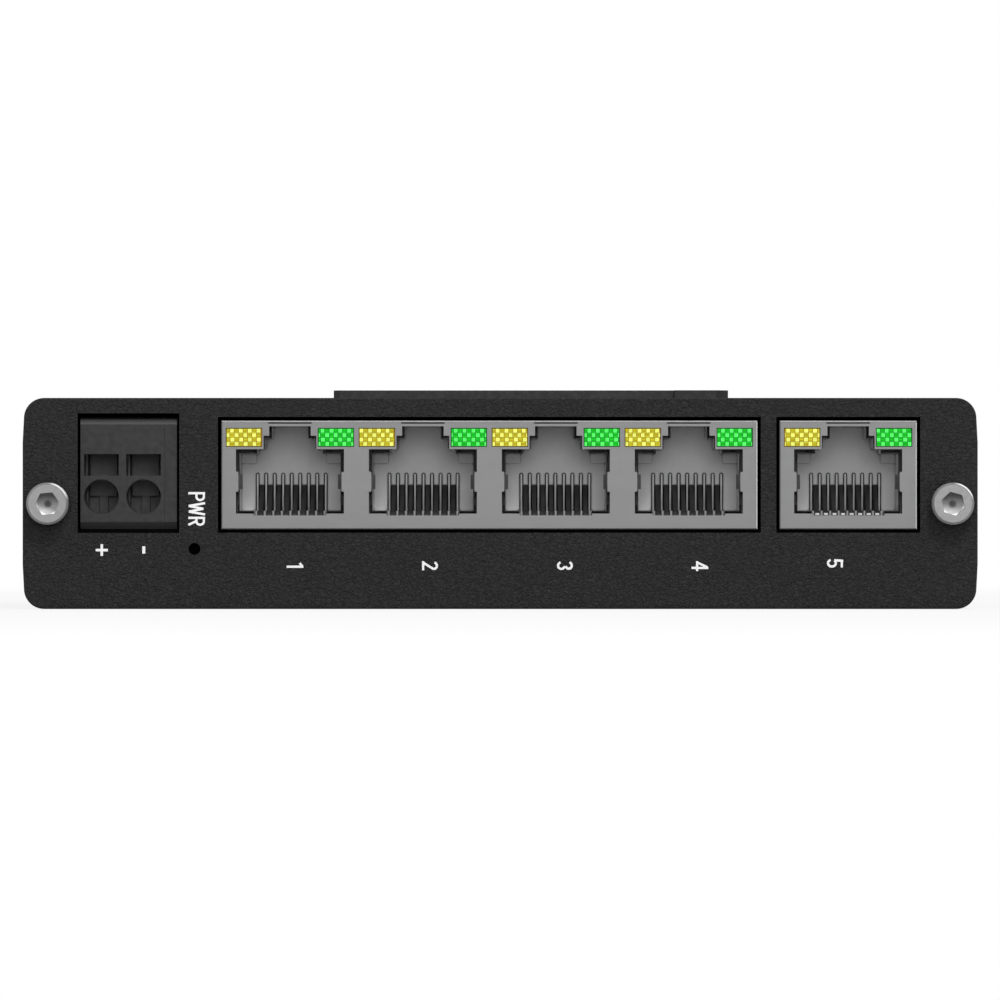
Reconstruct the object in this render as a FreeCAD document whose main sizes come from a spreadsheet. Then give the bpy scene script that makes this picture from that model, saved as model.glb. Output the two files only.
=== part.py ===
import FreeCAD, Part
import math
import os

import Sketcher

# A five-port Ethernet switch in a flat extruded case. X runs along the front panel, Y from the
# front panel to the rail bracket, Z up from the broad face that the case lies on. The origin is
# at the middle of that face. Millimetres.

SIZES = [
    # case
    ("terminal_margin", 6.8, "case side to the terminal block"),
    ("terminal_gap", 5.26, "terminal block to the four-port jack"),
    ("jack_gap", 2.63, "four-port jack to the single jack"),
    ("jack_margin", 7.2, "single jack to the case side"),
    ("headroom", 0.77, "terminal block to the case's ceiling"),
    ("board_tail", 3.6, "last part on the board to the board's rear edge"),
    ("corner_radius", 2.4, "outer corners of the case section"),
    ("side_flat", 14.4, "height of the straight middle of each side"),
    ("side_draft", 0.15, "inward lean of the sides outside the straight middle"),
    ("wall", 1.5, "wall of the extrusion"),
    ("inner_radius", 1.2, "inner corners of the extrusion"),
    ("panel_thickness", 1.5, "front and rear panel"),
    ("panel_edge", 0.15, "broken edge round each panel's outer face"),
    # case screws
    ("screw_inset", 3.03, "screw axes in from the case sides"),
    ("screw_rise", 3.03, "screw axes above the board"),
    ("thread", 3.0, "screw thread"),
    ("screw_fit", 0.1, "gap round a screw's thread in its hole"),
    ("screw_length", 8.0, "under the head"),
    ("head_width", 4.98, "screw head"),
    ("head_height", 3.0, "screw head"),
    ("head_bevel", 0.25, "rim of the screw head"),
    ("hex_width", 2.5, "hexagon socket, across its flats"),
    ("hex_depth", 1.5, "hexagon socket"),
    ("hex_point", 0.85, "cone under the hexagon socket"),
    ("hex_point_slope", 50.0, "degrees between the cone's side and its axis"),
    ("hex_turn_left", 4.5, "degrees that the left screw has stopped at"),
    ("hex_turn_right", 44.0, "degrees that the right screw has stopped at"),
    ("boss_radius", 2.8, "screw port of the extrusion"),
    ("boss_slit", 1.2, "opening along the screw port"),
    # circuit board
    ("board_bottom", 7.85, "underside of the board above the case's base"),
    ("board_thickness", 1.6, "board"),
    ("board_fit", 0.1, "gap above and below the board's edge in its slots"),
    ("board_side_gap", 0.2, "gap beside the board"),
    ("board_end_gap", 0.3, "gap between the board and each panel"),
    ("slot_rib", 1.2, "height of the rib under the board's edge"),
    ("slot_reach", 2.4, "how far the board ribs stand in from the wall"),
    # network jacks
    ("port_pitch", 15.75, "between ports of the four-port jack"),
    ("jack_height", 12.86, "shield above the board"),
    ("jack_depth", 25.0, "shield, front to rear"),
    ("jack_setback", 0.6, "jack face behind the panel's face"),
    ("shield_sheet", 0.25, "sheet of the shield"),
    ("shield_fold", 0.12, "broken edge where the sheet folds round its face"),
    ("window_side", 0.4, "gap beside a jack in its panel window"),
    ("window_bottom", 0.42, "gap under a jack in its panel window"),
    ("window_top", 0.44, "gap over a jack in its panel window"),
    ("mouth_width", 12.8, "opening of the shield"),
    ("mouth_bottom", 1.85, "above the board"),
    ("shoulder_drop", 3.38, "mouth's shoulders under the shield's top"),
    ("comb_dip", 0.22, "extra depth of the mouth under the contacts"),
    ("comb_span", 8.6, "width of the contact comb"),
    ("latch_width", 6.26, "lower part of the latch notch"),
    ("latch_drop", 1.78, "top of the latch notch's lower part under the shield's top"),
    ("notch_width", 4.92, "upper part of the latch notch"),
    ("notch_drop", 0.66, "top of the latch notch under the shield's top"),
    ("slit_width", 5.15, "slit over the latch notch"),
    ("slit_drop", 0.36, "slit over the latch notch, under the shield's top"),
    ("slit_height", 0.18, "slit over the latch notch"),
    ("tab_bottom", 4.74, "side spring tab, above the board"),
    ("tab_height", 1.76, "side spring tab"),
    ("tab_reach", 0.75, "how far the tab leans into the mouth"),
    ("tab_length", 3.2, "side spring tab, front to rear"),
    ("tab_root", 0.28, "root of the tab on the shield's face"),
    ("lamp_width", 4.3, "signal lamp window"),
    ("lamp_height", 2.24, "signal lamp window"),
    ("lamp_margin", 0.53, "signal lamp window in from the shield's side"),
    ("lamp_drop", 0.86, "signal lamp window under the shield's top"),
    ("lamp_depth", 9.0, "signal lamp, front to rear"),
    ("lamp_fit", 0.06, "gap round a lamp"),
    ("lamp_setback", 0.12, "lamp face behind the shield's face"),
    ("insert_setback", 0.9, "insulator face behind the shield's face"),
    ("insert_fit", 0.05, "gap round the insulator"),
    ("insert_depth", 12.1, "insulator, front to rear"),
    ("cavity_width", 11.96, "plug cavity"),
    ("cavity_floor", 2.18, "above the board"),
    ("shoulder_step", 0.52, "cavity's shoulders under the mouth's"),
    ("cavity_step_width", 7.8, "plug cavity just under the lamps"),
    ("lamp_floor", 0.26, "wall between a lamp and the cavity under it"),
    ("cavity_latch_width", 6.0, "latch channel"),
    ("latch_step", 0.34, "cavity's latch channel under the mouth's"),
    ("cavity_notch_width", 4.3, "latch channel, upper part"),
    ("cavity_depth", 10.3, "plug cavity, from the insulator's face"),
    ("rim_groove", 0.62, "relief groove round the cavity's mouth"),
    ("rim_groove_depth", 3.0, "relief groove"),
    ("rim_groove_draft", 4.5, "degrees of draft in the relief groove"),
    ("rim_edge", 0.05, "lip between the groove and the cavity"),
    ("corner_block_width", 1.8, "stop block in each upper corner of the cavity"),
    ("corner_block_height", 1.1, "stop block"),
    ("corner_block_depth", 1.2, "stop block"),
    ("post_width", 3.2, "locating post of the insulator"),
    ("post_length", 2.6, "locating post"),
    ("post_inset", 2.16, "locating posts in from the middle between two ports"),
    ("post_setback", 8.0, "posts behind the insulator's face"),
    ("post_fit", 0.05, "gap round a post in the board"),
    ("rib_width", 0.44, "comb rib"),
    ("rib_bevel", 0.12, "comb rib's front edges"),
    ("rib_depth", 0.5, "comb rib in front of the rear wall"),
    ("rib_top", 6.72, "comb rib's round top, above the board"),
    ("comb_floor", 0.5, "bottom of the contact channel, above the board"),
    ("contact_pitch", 1.016, "between contacts"),
    ("contact_width", 0.46, "contact wire"),
    ("contact_wire", 0.32, "contact wire's thickness"),
    ("contact_front", 1.85, "contact bend behind the insulator's face"),
    ("contact_bend_level", 1.95, "top of the contact bend, above the board"),
    ("contact_tip_level", 5.3, "contact's free end, above the board"),
    ("contact_tip_gap", 0.15, "contact's free end in front of the rear wall"),
    ("contact_run_level", 0.62, "contact's lower run, above the board"),
    # power terminal
    ("pole_pitch", 5.0, "between the two poles"),
    ("terminal_rise", 0.42, "terminal block over the jack shields"),
    ("terminal_depth", 12.5, "terminal block"),
    ("terminal_setback", 0.75, "terminal face behind the panel's face"),
    ("terminal_bevel", 0.85, "upper and lower front edges"),
    ("end_plate", 1.46, "plate that closes the terminal's side"),
    ("terminal_window_side", 0.29, "gap beside the terminal in its window"),
    ("terminal_window_end", 0.45, "gap over and under the terminal in its window"),
    ("entry_width", 4.1, "round wire entry"),
    ("entry_level", 3.84, "wire entry above the board"),
    ("entry_depth", 7.0, "wire entry"),
    ("driver_width", 4.1, "screwdriver slot"),
    ("driver_bottom", 6.34, "screwdriver slot above the board"),
    ("driver_height", 2.55, "screwdriver slot"),
    ("driver_depth", 6.0, "screwdriver slot"),
    ("chamber_width", 3.6, "clamp chamber"),
    ("chamber_bottom", 1.2, "clamp chamber above the board"),
    ("chamber_height", 8.4, "clamp chamber"),
    ("chamber_depth", 3.6, "clamp chamber"),
    ("clamp_sheet", 0.4, "clamp spring"),
    ("clamp_width", 3.2, "clamp spring"),
    ("clamp_fit", 0.1, "gap between the clamp parts and their chamber"),
    ("pin_width", 1.0, "solder pin of a pole"),
    ("pin_length", 3.2, "solder pin under the terminal block"),
    ("pin_fit", 0.15, "gap round a solder pin in the board"),
    # power indicator
    ("lamp_hole", 1.4, "hole of the power indicator"),
    ("lamp_hole_gap", 2.09, "power indicator beside the terminal block"),
    ("lamp_hole_drop", 0.73, "power indicator's axis under the board"),
    ("side_lamp_width", 3.0, "side-looking lamp"),
    ("side_lamp_depth", 2.0, "side-looking lamp"),
    # rail bracket
    ("rail", 35.0, "rail width between its edges"),
    ("rail_play", 0.15, "side play of the rail in its seat"),
    ("rail_slot", 1.3, "height of the slots that take the rail's edges"),
    ("seat_offset", 4.175, "middle of the rail seat from the middle of the case"),
    ("fixed_end", 7.4, "bracket past the rail's edge at the fixed lip"),
    ("hook_end", 6.7, "bracket past the rail's edge at the hook"),
    ("bracket_bottom", 1.0, "lower side of the bracket"),
    ("bracket_rise", 1.6, "bracket over the case's top"),
    ("bracket_base", 5.0, "bracket between the rear panel and the rail"),
    ("bracket_lip", 3.2, "lips behind the rail's edges"),
    ("fixed_lip", 3.6, "reach of the fixed lip over the rail seat"),
    ("hook_lip", 1.45, "reach of the hook over the rail seat"),
    ("bracket_bevel", 0.8, "front edge of the fixed end"),
    ("hook_bevel", 1.48, "front edge of the hook end"),
    ("outer_bevel", 2.6, "rear outer edges of both lips"),
    ("flex_slit", 0.8, "slit that lets the hook's arm bend"),
    ("arm_length", 10.75, "hook's arm, from its root to the rail's edge"),
    ("flex_arm", 2.0, "thickness of the hook's arm"),
    ("lug_reach", 2.0, "how far the hook end's lug stands over the case"),
    ("lug_gap", 0.2, "gap between the lug and the case's top"),
    ("bracket_screw_left", -13.2, "bracket screw from the middle of the rail seat"),
    ("bracket_screw_right", 0.8, "bracket screw from the middle of the rail seat"),
    ("sink_width", 5.6, "countersunk head"),
    ("sink_hex", 2.0, "countersunk head's socket across its flats"),
    ("sink_hex_depth", 1.1, "countersunk head's socket"),
    ("bracket_screw_length", 8.0, "with its head"),
    ("nut_flange", 6.3, "press nut"),
    ("nut_height", 1.4, "press nut's flange"),
    ("nut_shank", 4.2, "press nut in the panel"),
    ("nut_fit", 0.05, "gap round the press nut's shank"),
    ("spring_wire", 0.6, "rail spring's thickness"),
    ("spring_width", 1.0, "rail spring, front to rear"),
    ("spring_span", 19.6, "rail spring, end to end"),
    ("spring_sag", 2.0, "how far the spring bows into the rail seat"),
    ("spring_pocket", 1.4, "depth of the spring's pocket behind the rail slot"),
    ("spring_fit", 0.1, "gap between the spring and its pocket"),
    # parts on the board, in a line behind the terminal block and in the middle behind the jacks
    ("part_gap", 3.25, "between neighbouring parts on the board"),
    ("input_margin", 12.5, "middle of the line from the case side"),
    ("chip_draft", 5.0, "degrees of draft on moulded parts"),
    ("chip_width", 14.0, "switch chip"),
    ("chip_height", 0.9, "switch chip"),
    ("crystal_length", 11.4, "crystal can"),
    ("crystal_width", 4.7, "crystal can"),
    ("crystal_height", 3.6, "crystal can"),
    ("capacitor_width", 8.0, "bulk capacitor"),
    ("capacitor_height", 10.2, "bulk capacitor"),
    ("capacitor_base", 8.3, "bulk capacitor's foot"),
    ("capacitor_foot", 1.5, "bulk capacitor's foot"),
    ("inductor_width", 10.2, "power inductor"),
    ("inductor_height", 5.0, "power inductor"),
    ("regulator_length", 4.9, "regulator chip"),
    ("regulator_width", 3.9, "regulator chip"),
    ("regulator_height", 1.5, "regulator chip"),
    ("bridge_length", 8.4, "bridge rectifier"),
    ("bridge_width", 6.5, "bridge rectifier"),
    ("bridge_height", 2.6, "bridge rectifier"),
    ("surge_length", 4.6, "surge suppressor"),
    ("surge_width", 3.6, "surge suppressor"),
    ("surge_height", 2.3, "surge suppressor"),
    ("fuse_length", 7.4, "resettable fuse"),
    ("fuse_width", 5.1, "resettable fuse"),
    ("fuse_height", 1.2, "resettable fuse"),
    ("foot", 0.5, "solder feet beside a part"),
    ("foot_sheet", 0.2, "solder feet"),
]


class Size:
    """A length together with the expression that the document keeps for it."""

    def __init__(self, value, text):
        self.value = value
        self.text = text

    def joined(self, other, sign, value):
        return Size(value, f"({self.text} {sign} {sized(other).text})")

    def __add__(self, other):
        return self.joined(other, "+", self.value + sized(other).value)

    def __sub__(self, other):
        return self.joined(other, "-", self.value - sized(other).value)

    def __mul__(self, other):
        return self.joined(other, "*", self.value * sized(other).value)

    def __truediv__(self, other):
        return self.joined(other, "/", self.value / sized(other).value)

    def __radd__(self, other):
        return sized(other) + self

    def __rsub__(self, other):
        return sized(other) - self

    def __rmul__(self, other):
        return sized(other) * self

    def __neg__(self):
        return Size(-self.value, f"(0 - {self.text})")


def sized(number):
    """A plain number as a Size."""
    return number if isinstance(number, Size) else Size(number, repr(float(number)))


def cosine(angle):
    return Size(math.cos(math.radians(sized(angle).value)), f"cos({sized(angle).text})")


def sine(angle):
    return Size(math.sin(math.radians(sized(angle).value)), f"sin({sized(angle).text})")


class Sizes:
    """The cells of the spreadsheet, as attributes."""

    def __init__(self, doc):
        self.sheet = doc.addObject("Spreadsheet::Sheet", "Sizes")
        for row, (alias, value, meaning) in enumerate(SIZES, start=1):
            self.sheet.set(f"A{row}", meaning)
            self.sheet.set(f"B{row}", str(value))
            self.sheet.setAlias(f"B{row}", alias)
        doc.recompute()
        for alias, value, meaning in SIZES:
            setattr(self, alias, Size(float(getattr(self.sheet, alias)), "Sizes." + alias))


doc = FreeCAD.newDocument("EthernetSwitch")
size = Sizes(doc)
parts = []

POLES = 2
QUAD_PORTS = 4
CONTACTS = 8

# The line of parts on the board, from the terminal block to the board's rear edge.
BOARD_START = size.panel_thickness + size.board_end_gap
FUSE_Y = (size.terminal_setback - BOARD_START + size.terminal_depth + size.part_gap
          + size.fuse_width / 2)
SURGE_Y = FUSE_Y + size.fuse_width / 2 + size.part_gap + size.surge_width / 2
BRIDGE_Y = SURGE_Y + size.surge_width / 2 + size.part_gap + size.bridge_width / 2
CAPACITOR_Y = BRIDGE_Y + size.bridge_width / 2 + size.part_gap + size.capacitor_base / 2
INDUCTOR_Y = CAPACITOR_Y + size.capacitor_base / 2 + size.part_gap + size.inductor_width / 2
BOARD_LENGTH = INDUCTOR_Y + size.inductor_width / 2 + size.board_tail
CASE_LENGTH = BOARD_LENGTH + 2 * size.board_end_gap

# Heights: board, jacks and terminal block under the case's ceiling.
BOARD_TOP = size.board_bottom + size.board_thickness
TERMINAL_HEIGHT = size.jack_height + size.terminal_rise
CASE_HEIGHT = BOARD_TOP + TERMINAL_HEIGHT + size.headroom + size.wall
SCREW_LEVEL = BOARD_TOP + size.screw_rise
LAMP_BOTTOM = size.jack_height - size.lamp_drop - size.lamp_height
MOUTH_SHOULDER = size.jack_height - size.shoulder_drop
SLIT = size.jack_height - size.slit_drop
LATCH_TOP = size.jack_height - size.latch_drop
NOTCH_TOP = size.jack_height - size.notch_drop
CAVITY_SHOULDER = MOUTH_SHOULDER - size.shoulder_step
CAVITY_STEP = LAMP_BOTTOM - size.lamp_floor
CAVITY_LATCH_TOP = LATCH_TOP - size.latch_step
LAMP_LEVEL = size.board_bottom - size.lamp_hole_drop

# Places along the front: terminal block, four-port jack and single jack, side by side.
JACK_SIDE = size.port_pitch / 2 + size.shield_sheet
TERMINAL_WIDTH = size.pole_pitch * POLES + size.end_plate
QUAD_WIDTH = 2 * JACK_SIDE + size.port_pitch * (QUAD_PORTS - 1)
SOLO_WIDTH = 2 * JACK_SIDE
CASE_WIDTH = (
    size.terminal_margin + TERMINAL_WIDTH + size.terminal_gap + QUAD_WIDTH
    + size.jack_gap + SOLO_WIDTH + size.jack_margin
)
TERMINAL_LEFT = size.terminal_margin - CASE_WIDTH / 2
TERMINAL_RIGHT = TERMINAL_LEFT + TERMINAL_WIDTH
FIRST_POLE = TERMINAL_LEFT + size.pole_pitch / 2
FIRST_PORT = TERMINAL_RIGHT + size.terminal_gap + JACK_SIDE
SOLO_PORT = CASE_WIDTH / 2 - size.jack_margin - JACK_SIDE
PORTS = [FIRST_PORT + size.port_pitch * step for step in range(QUAD_PORTS)] + [SOLO_PORT]
SCREW_X = CASE_WIDTH / 2 - size.screw_inset
INPUT_X = size.input_margin - CASE_WIDTH / 2
POWER_LAMP_X = TERMINAL_RIGHT + size.lamp_hole_gap
CHIP_X = FIRST_PORT + size.port_pitch * ((QUAD_PORTS - 1) / 2)

# Planes from front to rear.
TOTAL_DEPTH = (
    size.head_height + 2 * size.panel_thickness + CASE_LENGTH
    + size.bracket_base + size.rail_slot + size.bracket_lip
)
FACE = size.head_height - TOTAL_DEPTH / 2
TUBE = FACE + size.panel_thickness
REAR = TUBE + CASE_LENGTH
BACK = REAR + size.panel_thickness
BOARD_FRONT = TUBE + size.board_end_gap
JACK_FACE = FACE + size.jack_setback
INSERT_FACE = JACK_FACE + size.insert_setback
TERMINAL_FACE = FACE + size.terminal_setback
PIN_DEPTH = size.driver_depth + size.chamber_depth - size.clamp_fit - size.pin_width / 2

# The insert of a port fills its share of the shield.
INSERT_HALF = size.port_pitch / 2 - size.insert_fit
INSERT_HEIGHT = size.jack_height - size.shield_sheet - size.insert_fit
LAMP_OFFSET = JACK_SIDE - size.lamp_margin - size.lamp_width / 2
POST_OFFSET = size.port_pitch / 2 - size.post_inset

# The rail bracket, about the middle of its seat.
RAIL_RIGHT = size.seat_offset + (size.rail + size.rail_play) / 2
RAIL_LEFT = size.seat_offset - (size.rail + size.rail_play) / 2
SLOT_END = RAIL_LEFT - size.fixed_lip / 2
BRACKET_TOP = CASE_HEIGHT + size.bracket_rise
BRACKET_MIDDLE = (size.bracket_bottom + BRACKET_TOP) / 2
BRACKET_SCREW = size.seat_offset + size.bracket_screw_left
BRACKET_PITCH = size.bracket_screw_right - size.bracket_screw_left


def bind(item, prop, length):
    """Set a property and keep its expression."""
    item.setExpression(prop, sized(length).text)


def place(item, across=0, back=0, up=0):
    """Put a finished sub-part where it belongs in the case."""
    bind(item, "Placement.Base.x", across)
    bind(item, "Placement.Base.y", back)
    bind(item, "Placement.Base.z", up)


def new_body(label):
    body = doc.addObject("PartDesign::Body", label)
    body.Label = label
    parts.append(body)
    return body


def copy_of(body, label):
    """A further piece from the same tool: a body that follows the first one's shape."""
    copy = new_body(label)
    base = copy.newObject("PartDesign::FeatureBase", "Base")
    base.BaseFeature = body
    base.Placement = FreeCAD.Placement()
    copy.Tip = base
    return copy


def origin_plane(body, role):
    return next(item for item in body.Origin.OriginFeatures if item.Role == role)


def arc_between(start, end, radius):
    """The short arc that turns left for a positive radius and right for a negative one."""
    way = (end - start).normalize()
    left = FreeCAD.Vector(-way.y, way.x, 0)
    half = start.distanceToPoint(end) / 2
    rise = math.sqrt(max(radius * radius - half * half, 0))
    side = math.copysign(1, radius)
    centre = (start + end) / 2 + left * (side * rise)
    middle = centre - left * (side * abs(radius))
    return Part.Arc(start, middle, end)


class Drawing:
    """A sketch whose points and radii are bound to sizes.

    On the XZ plane the sketch's axes are X and Z, on XY they are X and Y, on YZ they are Y and Z.
    """

    def __init__(self, body, plane="XZ_Plane", offset=0):
        self.sketch = body.newObject("Sketcher::SketchObject", "Sketch")
        self.sketch.AttachmentSupport = [(origin_plane(body, plane), "")]
        self.sketch.MapMode = "FlatFace"
        away = -sized(offset) if plane == "XZ_Plane" else sized(offset)
        bind(self.sketch, "AttachmentOffset.Base.z", away)

    def fix(self, rules):
        """Hold each listed coordinate or radius at its size."""
        constraints = []
        for kind, index, point, length in rules:
            where = (index,) if point is None else (index, point)
            constraints.append(Sketcher.Constraint(kind, *where, sized(length).value))
        numbers = self.sketch.addConstraint(constraints)
        for number, (kind, index, point, length) in zip(numbers, rules):
            if sized(length).text != "0.0":
                bind(self.sketch, f"Constraints[{number}]", length)

    def outline(self, points):
        """A closed outline. A point with a third value is reached along an arc of that radius."""
        places = [FreeCAD.Vector(sized(p[0]).value, sized(p[1]).value, 0) for p in points]
        first = self.sketch.GeometryCount
        edges = []
        ends = []
        rules = []
        for index, start in enumerate(places):
            after = (index + 1) % len(points)
            if len(points[after]) == 3:
                radius = sized(points[after][2])
                edges.append(arc_between(start, places[after], radius.value))
                ends.append((1, 2) if radius.value > 0 else (2, 1))
                rules.append(("Radius", first + index, None, radius if radius.value > 0 else -radius))
            else:
                edges.append(Part.LineSegment(start, places[after]))
                ends.append((1, 2))
            rules.append(("DistanceX", first + index, ends[-1][0], points[index][0]))
            rules.append(("DistanceY", first + index, ends[-1][0], points[index][1]))
        self.sketch.addGeometry(edges, False)
        joins = []
        for index in range(len(points)):
            after = (index + 1) % len(points)
            joins.append(Sketcher.Constraint(
                "Coincident", first + index, ends[index][1], first + after, ends[after][0]))
        self.sketch.addConstraint(joins)
        self.fix(rules)
        return self

    def rectangle(self, left, right, bottom, top):
        return self.outline([(left, bottom), (right, bottom), (right, top), (left, top)])

    def circle(self, across, up, diameter):
        centre = FreeCAD.Vector(sized(across).value, sized(up).value, 0)
        radius = sized(diameter) / 2
        index = self.sketch.addGeometry(
            Part.Circle(centre, FreeCAD.Vector(0, 0, 1), radius.value), False)
        self.fix([
            ("DistanceX", index, 3, across),
            ("DistanceY", index, 3, up),
            ("Radius", index, None, radius),
        ])
        return self

    def hexagon(self, across, up, flats, turn):
        """A hexagon with a corner at the given turn from the sketch's first axis."""
        reach = sized(flats) / (2 * cosine(30))
        corners = [
            (across + reach * cosine(turn + 60 * step), up + reach * sine(turn + 60 * step))
            for step in range(6)
        ]
        return self.outline(corners)


def pad(body, drawing, length, backward=True, draft=None):
    """Add the drawing's area. Backward is towards the rear on XZ and the plane's normal elsewhere."""
    feature = body.newObject("PartDesign::Pad", "Pad")
    feature.Profile = drawing.sketch
    bind(feature, "Length", length)
    on_front = "XZ_Plane" in drawing.sketch.AttachmentSupport[0][0].Role
    feature.Reversed = backward if on_front else not backward
    if draft is not None:
        bind(feature, "TaperAngle", draft)
    return feature


def pocket(body, drawing, length, backward=True, draft=None):
    """Remove the drawing's area. Backward is towards the rear on XZ, the normal elsewhere."""
    feature = body.newObject("PartDesign::Pocket", "Pocket")
    feature.Profile = drawing.sketch
    bind(feature, "Length", length)
    on_front = "XZ_Plane" in drawing.sketch.AttachmentSupport[0][0].Role
    feature.Reversed = not backward if on_front else backward
    if draft is not None:
        bind(feature, "TaperAngle", draft)
    return feature


def turned(body, drawing, axis):
    """A full turn of the drawing round one of its sketch's own axes."""
    feature = body.newObject("PartDesign::Revolution", "Revolution")
    feature.Profile = drawing.sketch
    feature.ReferenceAxis = (drawing.sketch, [axis])
    feature.Angle = 360
    return feature


def pattern(body, features, drawing, axis, pitch, count):
    """Repeat features along a sketch axis."""
    feature = body.newObject("PartDesign::LinearPattern", "Pattern")
    feature.Originals = features
    feature.Direction = (drawing.sketch, [axis])
    bind(feature, "Length", pitch * (count - 1))
    feature.Occurrences = count
    body.Tip = feature
    return feature


def case_outline(drawing):
    """The case section: straight mid-sides that lean in slightly towards round corners."""
    wide = CASE_WIDTH / 2
    flat_low = CASE_HEIGHT / 2 - size.side_flat / 2
    flat_high = CASE_HEIGHT / 2 + size.side_flat / 2
    radius = size.corner_radius
    lean = wide - size.side_draft
    return drawing.outline([
        (wide, flat_low),
        (wide, flat_high),
        (lean, CASE_HEIGHT - radius),
        (lean - radius, CASE_HEIGHT, radius),
        (radius - lean, CASE_HEIGHT),
        (-lean, CASE_HEIGHT - radius, radius),
        (-wide, flat_high),
        (-wide, flat_low),
        (-lean, radius),
        (radius - lean, 0, radius),
        (lean - radius, 0),
        (lean, radius, radius),
    ])


def extruded_tube():
    """Black anodised tube with board slots and two screw ports along it."""
    body = new_body("case_tube")
    pad(body, case_outline(Drawing(body)), CASE_LENGTH)

    inside = CASE_WIDTH / 2 - size.wall
    corner = size.inner_radius
    rib_inside = inside - size.slot_reach
    slot_low = size.board_bottom - size.board_fit
    slot_high = BOARD_TOP + size.board_fit
    boss_side = SCREW_X - size.boss_radius
    boss_top = SCREW_LEVEL + size.boss_radius
    ceiling = CASE_HEIGHT - size.wall
    hollow = Drawing(body).outline([
        (inside, slot_low),
        (inside, slot_high),
        (boss_side, slot_high),
        (boss_side, boss_top),
        (inside, boss_top),
        (inside, ceiling - corner),
        (inside - corner, ceiling, corner),
        (corner - inside, ceiling),
        (-inside, ceiling - corner, corner),
        (-inside, boss_top),
        (-boss_side, boss_top),
        (-boss_side, slot_high),
        (-inside, slot_high),
        (-inside, slot_low),
        (-rib_inside, slot_low),
        (-rib_inside, slot_low - size.slot_rib),
        (-inside, slot_low - size.slot_rib),
        (-inside, size.wall + corner),
        (corner - inside, size.wall, corner),
        (inside - corner, size.wall),
        (inside, size.wall + corner, corner),
        (inside, slot_low - size.slot_rib),
        (rib_inside, slot_low - size.slot_rib),
        (rib_inside, slot_low),
    ])
    pocket(body, hollow, CASE_LENGTH)

    bore = size.thread + 2 * size.screw_fit
    ports = Drawing(body)
    for side in (-1, 1):
        ports.circle(side * SCREW_X, SCREW_LEVEL, bore)
    pocket(body, ports, CASE_LENGTH)
    slits = Drawing(body)
    half = size.boss_slit / 2
    slits.rectangle(SCREW_X - size.boss_radius - half, SCREW_X,
                    SCREW_LEVEL - half, SCREW_LEVEL + half)
    slits.rectangle(-SCREW_X, half + size.boss_radius - SCREW_X,
                    SCREW_LEVEL - half, SCREW_LEVEL + half)
    pocket(body, slits, CASE_LENGTH)
    place(body, back=TUBE)


def panel_holes(body):
    """Clearance holes for the two case screws."""
    holes = Drawing(body)
    for side in (-1, 1):
        holes.circle(side * SCREW_X, SCREW_LEVEL, size.thread + 2 * size.screw_fit)
    pocket(body, holes, size.panel_thickness)


def front_panel():
    """Powder-coated plate with windows for the terminal and the jacks."""
    body = new_body("front_panel")
    outline = case_outline(Drawing(body, offset=size.panel_edge))
    pad(body, outline, size.panel_thickness - size.panel_edge)
    pad(body, outline, size.panel_edge, backward=False, draft=-45)
    panel_holes(body)
    windows = Drawing(body)
    windows.rectangle(
        TERMINAL_LEFT - size.terminal_window_side, TERMINAL_RIGHT + size.terminal_window_side,
        BOARD_TOP - size.terminal_window_end,
        BOARD_TOP + TERMINAL_HEIGHT + size.terminal_window_end)
    for first, last in ((FIRST_PORT, PORTS[QUAD_PORTS - 1]), (SOLO_PORT, SOLO_PORT)):
        windows.rectangle(first - JACK_SIDE - size.window_side,
                          last + JACK_SIDE + size.window_side,
                          BOARD_TOP - size.window_bottom,
                          BOARD_TOP + size.jack_height + size.window_top)
    windows.circle(POWER_LAMP_X, LAMP_LEVEL, size.lamp_hole)
    pocket(body, windows, size.panel_thickness)
    place(body, back=FACE)


def rear_panel():
    """Plain plate that carries the rail bracket on two press nuts."""
    body = new_body("rear_panel")
    outline = case_outline(Drawing(body, offset=size.panel_thickness - size.panel_edge))
    pad(body, outline, size.panel_thickness - size.panel_edge, backward=False)
    pad(body, outline, size.panel_edge, draft=-45)
    panel_holes(body)
    holes = Drawing(body)
    for across in (BRACKET_SCREW, BRACKET_SCREW + BRACKET_PITCH):
        holes.circle(across, BRACKET_MIDDLE, size.nut_shank + 2 * size.nut_fit)
    pocket(body, holes, size.panel_thickness)
    place(body, back=REAR)


def case_screws():
    """Case screws with a hexagon socket in each head."""
    body = new_body("case_screws")
    half_case = size.panel_thickness + CASE_LENGTH / 2
    face = half_case + size.head_height
    for side, turn in ((-1, size.hex_turn_left), (1, size.hex_turn_right)):
        for end in (-1, 1):
            shaft = Drawing(body, "XZ_Plane", end * (half_case - size.screw_length))
            shaft.circle(side * SCREW_X, 0, size.thread)
            pad(body, shaft, size.screw_length, backward=end > 0)
            head = Drawing(body, "XZ_Plane", end * half_case)
            head.circle(side * SCREW_X, 0, size.head_width)
            pad(body, head, size.head_height - size.head_bevel, backward=end > 0)
            rim = Drawing(body, "XZ_Plane", end * (face - size.head_bevel))
            rim.circle(side * SCREW_X, 0, size.head_width)
            pad(body, rim, size.head_bevel, backward=end > 0, draft=-45)
            socket = Drawing(body, "XZ_Plane", end * face)
            socket.hexagon(side * SCREW_X, sized(0), size.hex_width, turn)
            pocket(body, socket, size.hex_depth, backward=end < 0)
            point = Drawing(body, "XZ_Plane", end * (face - size.hex_depth))
            point.circle(side * SCREW_X, 0, size.hex_width)
            pocket(body, point, size.hex_point, backward=end < 0, draft=-size.hex_point_slope)
    place(body, 0, TUBE + CASE_LENGTH / 2, SCREW_LEVEL)


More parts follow.
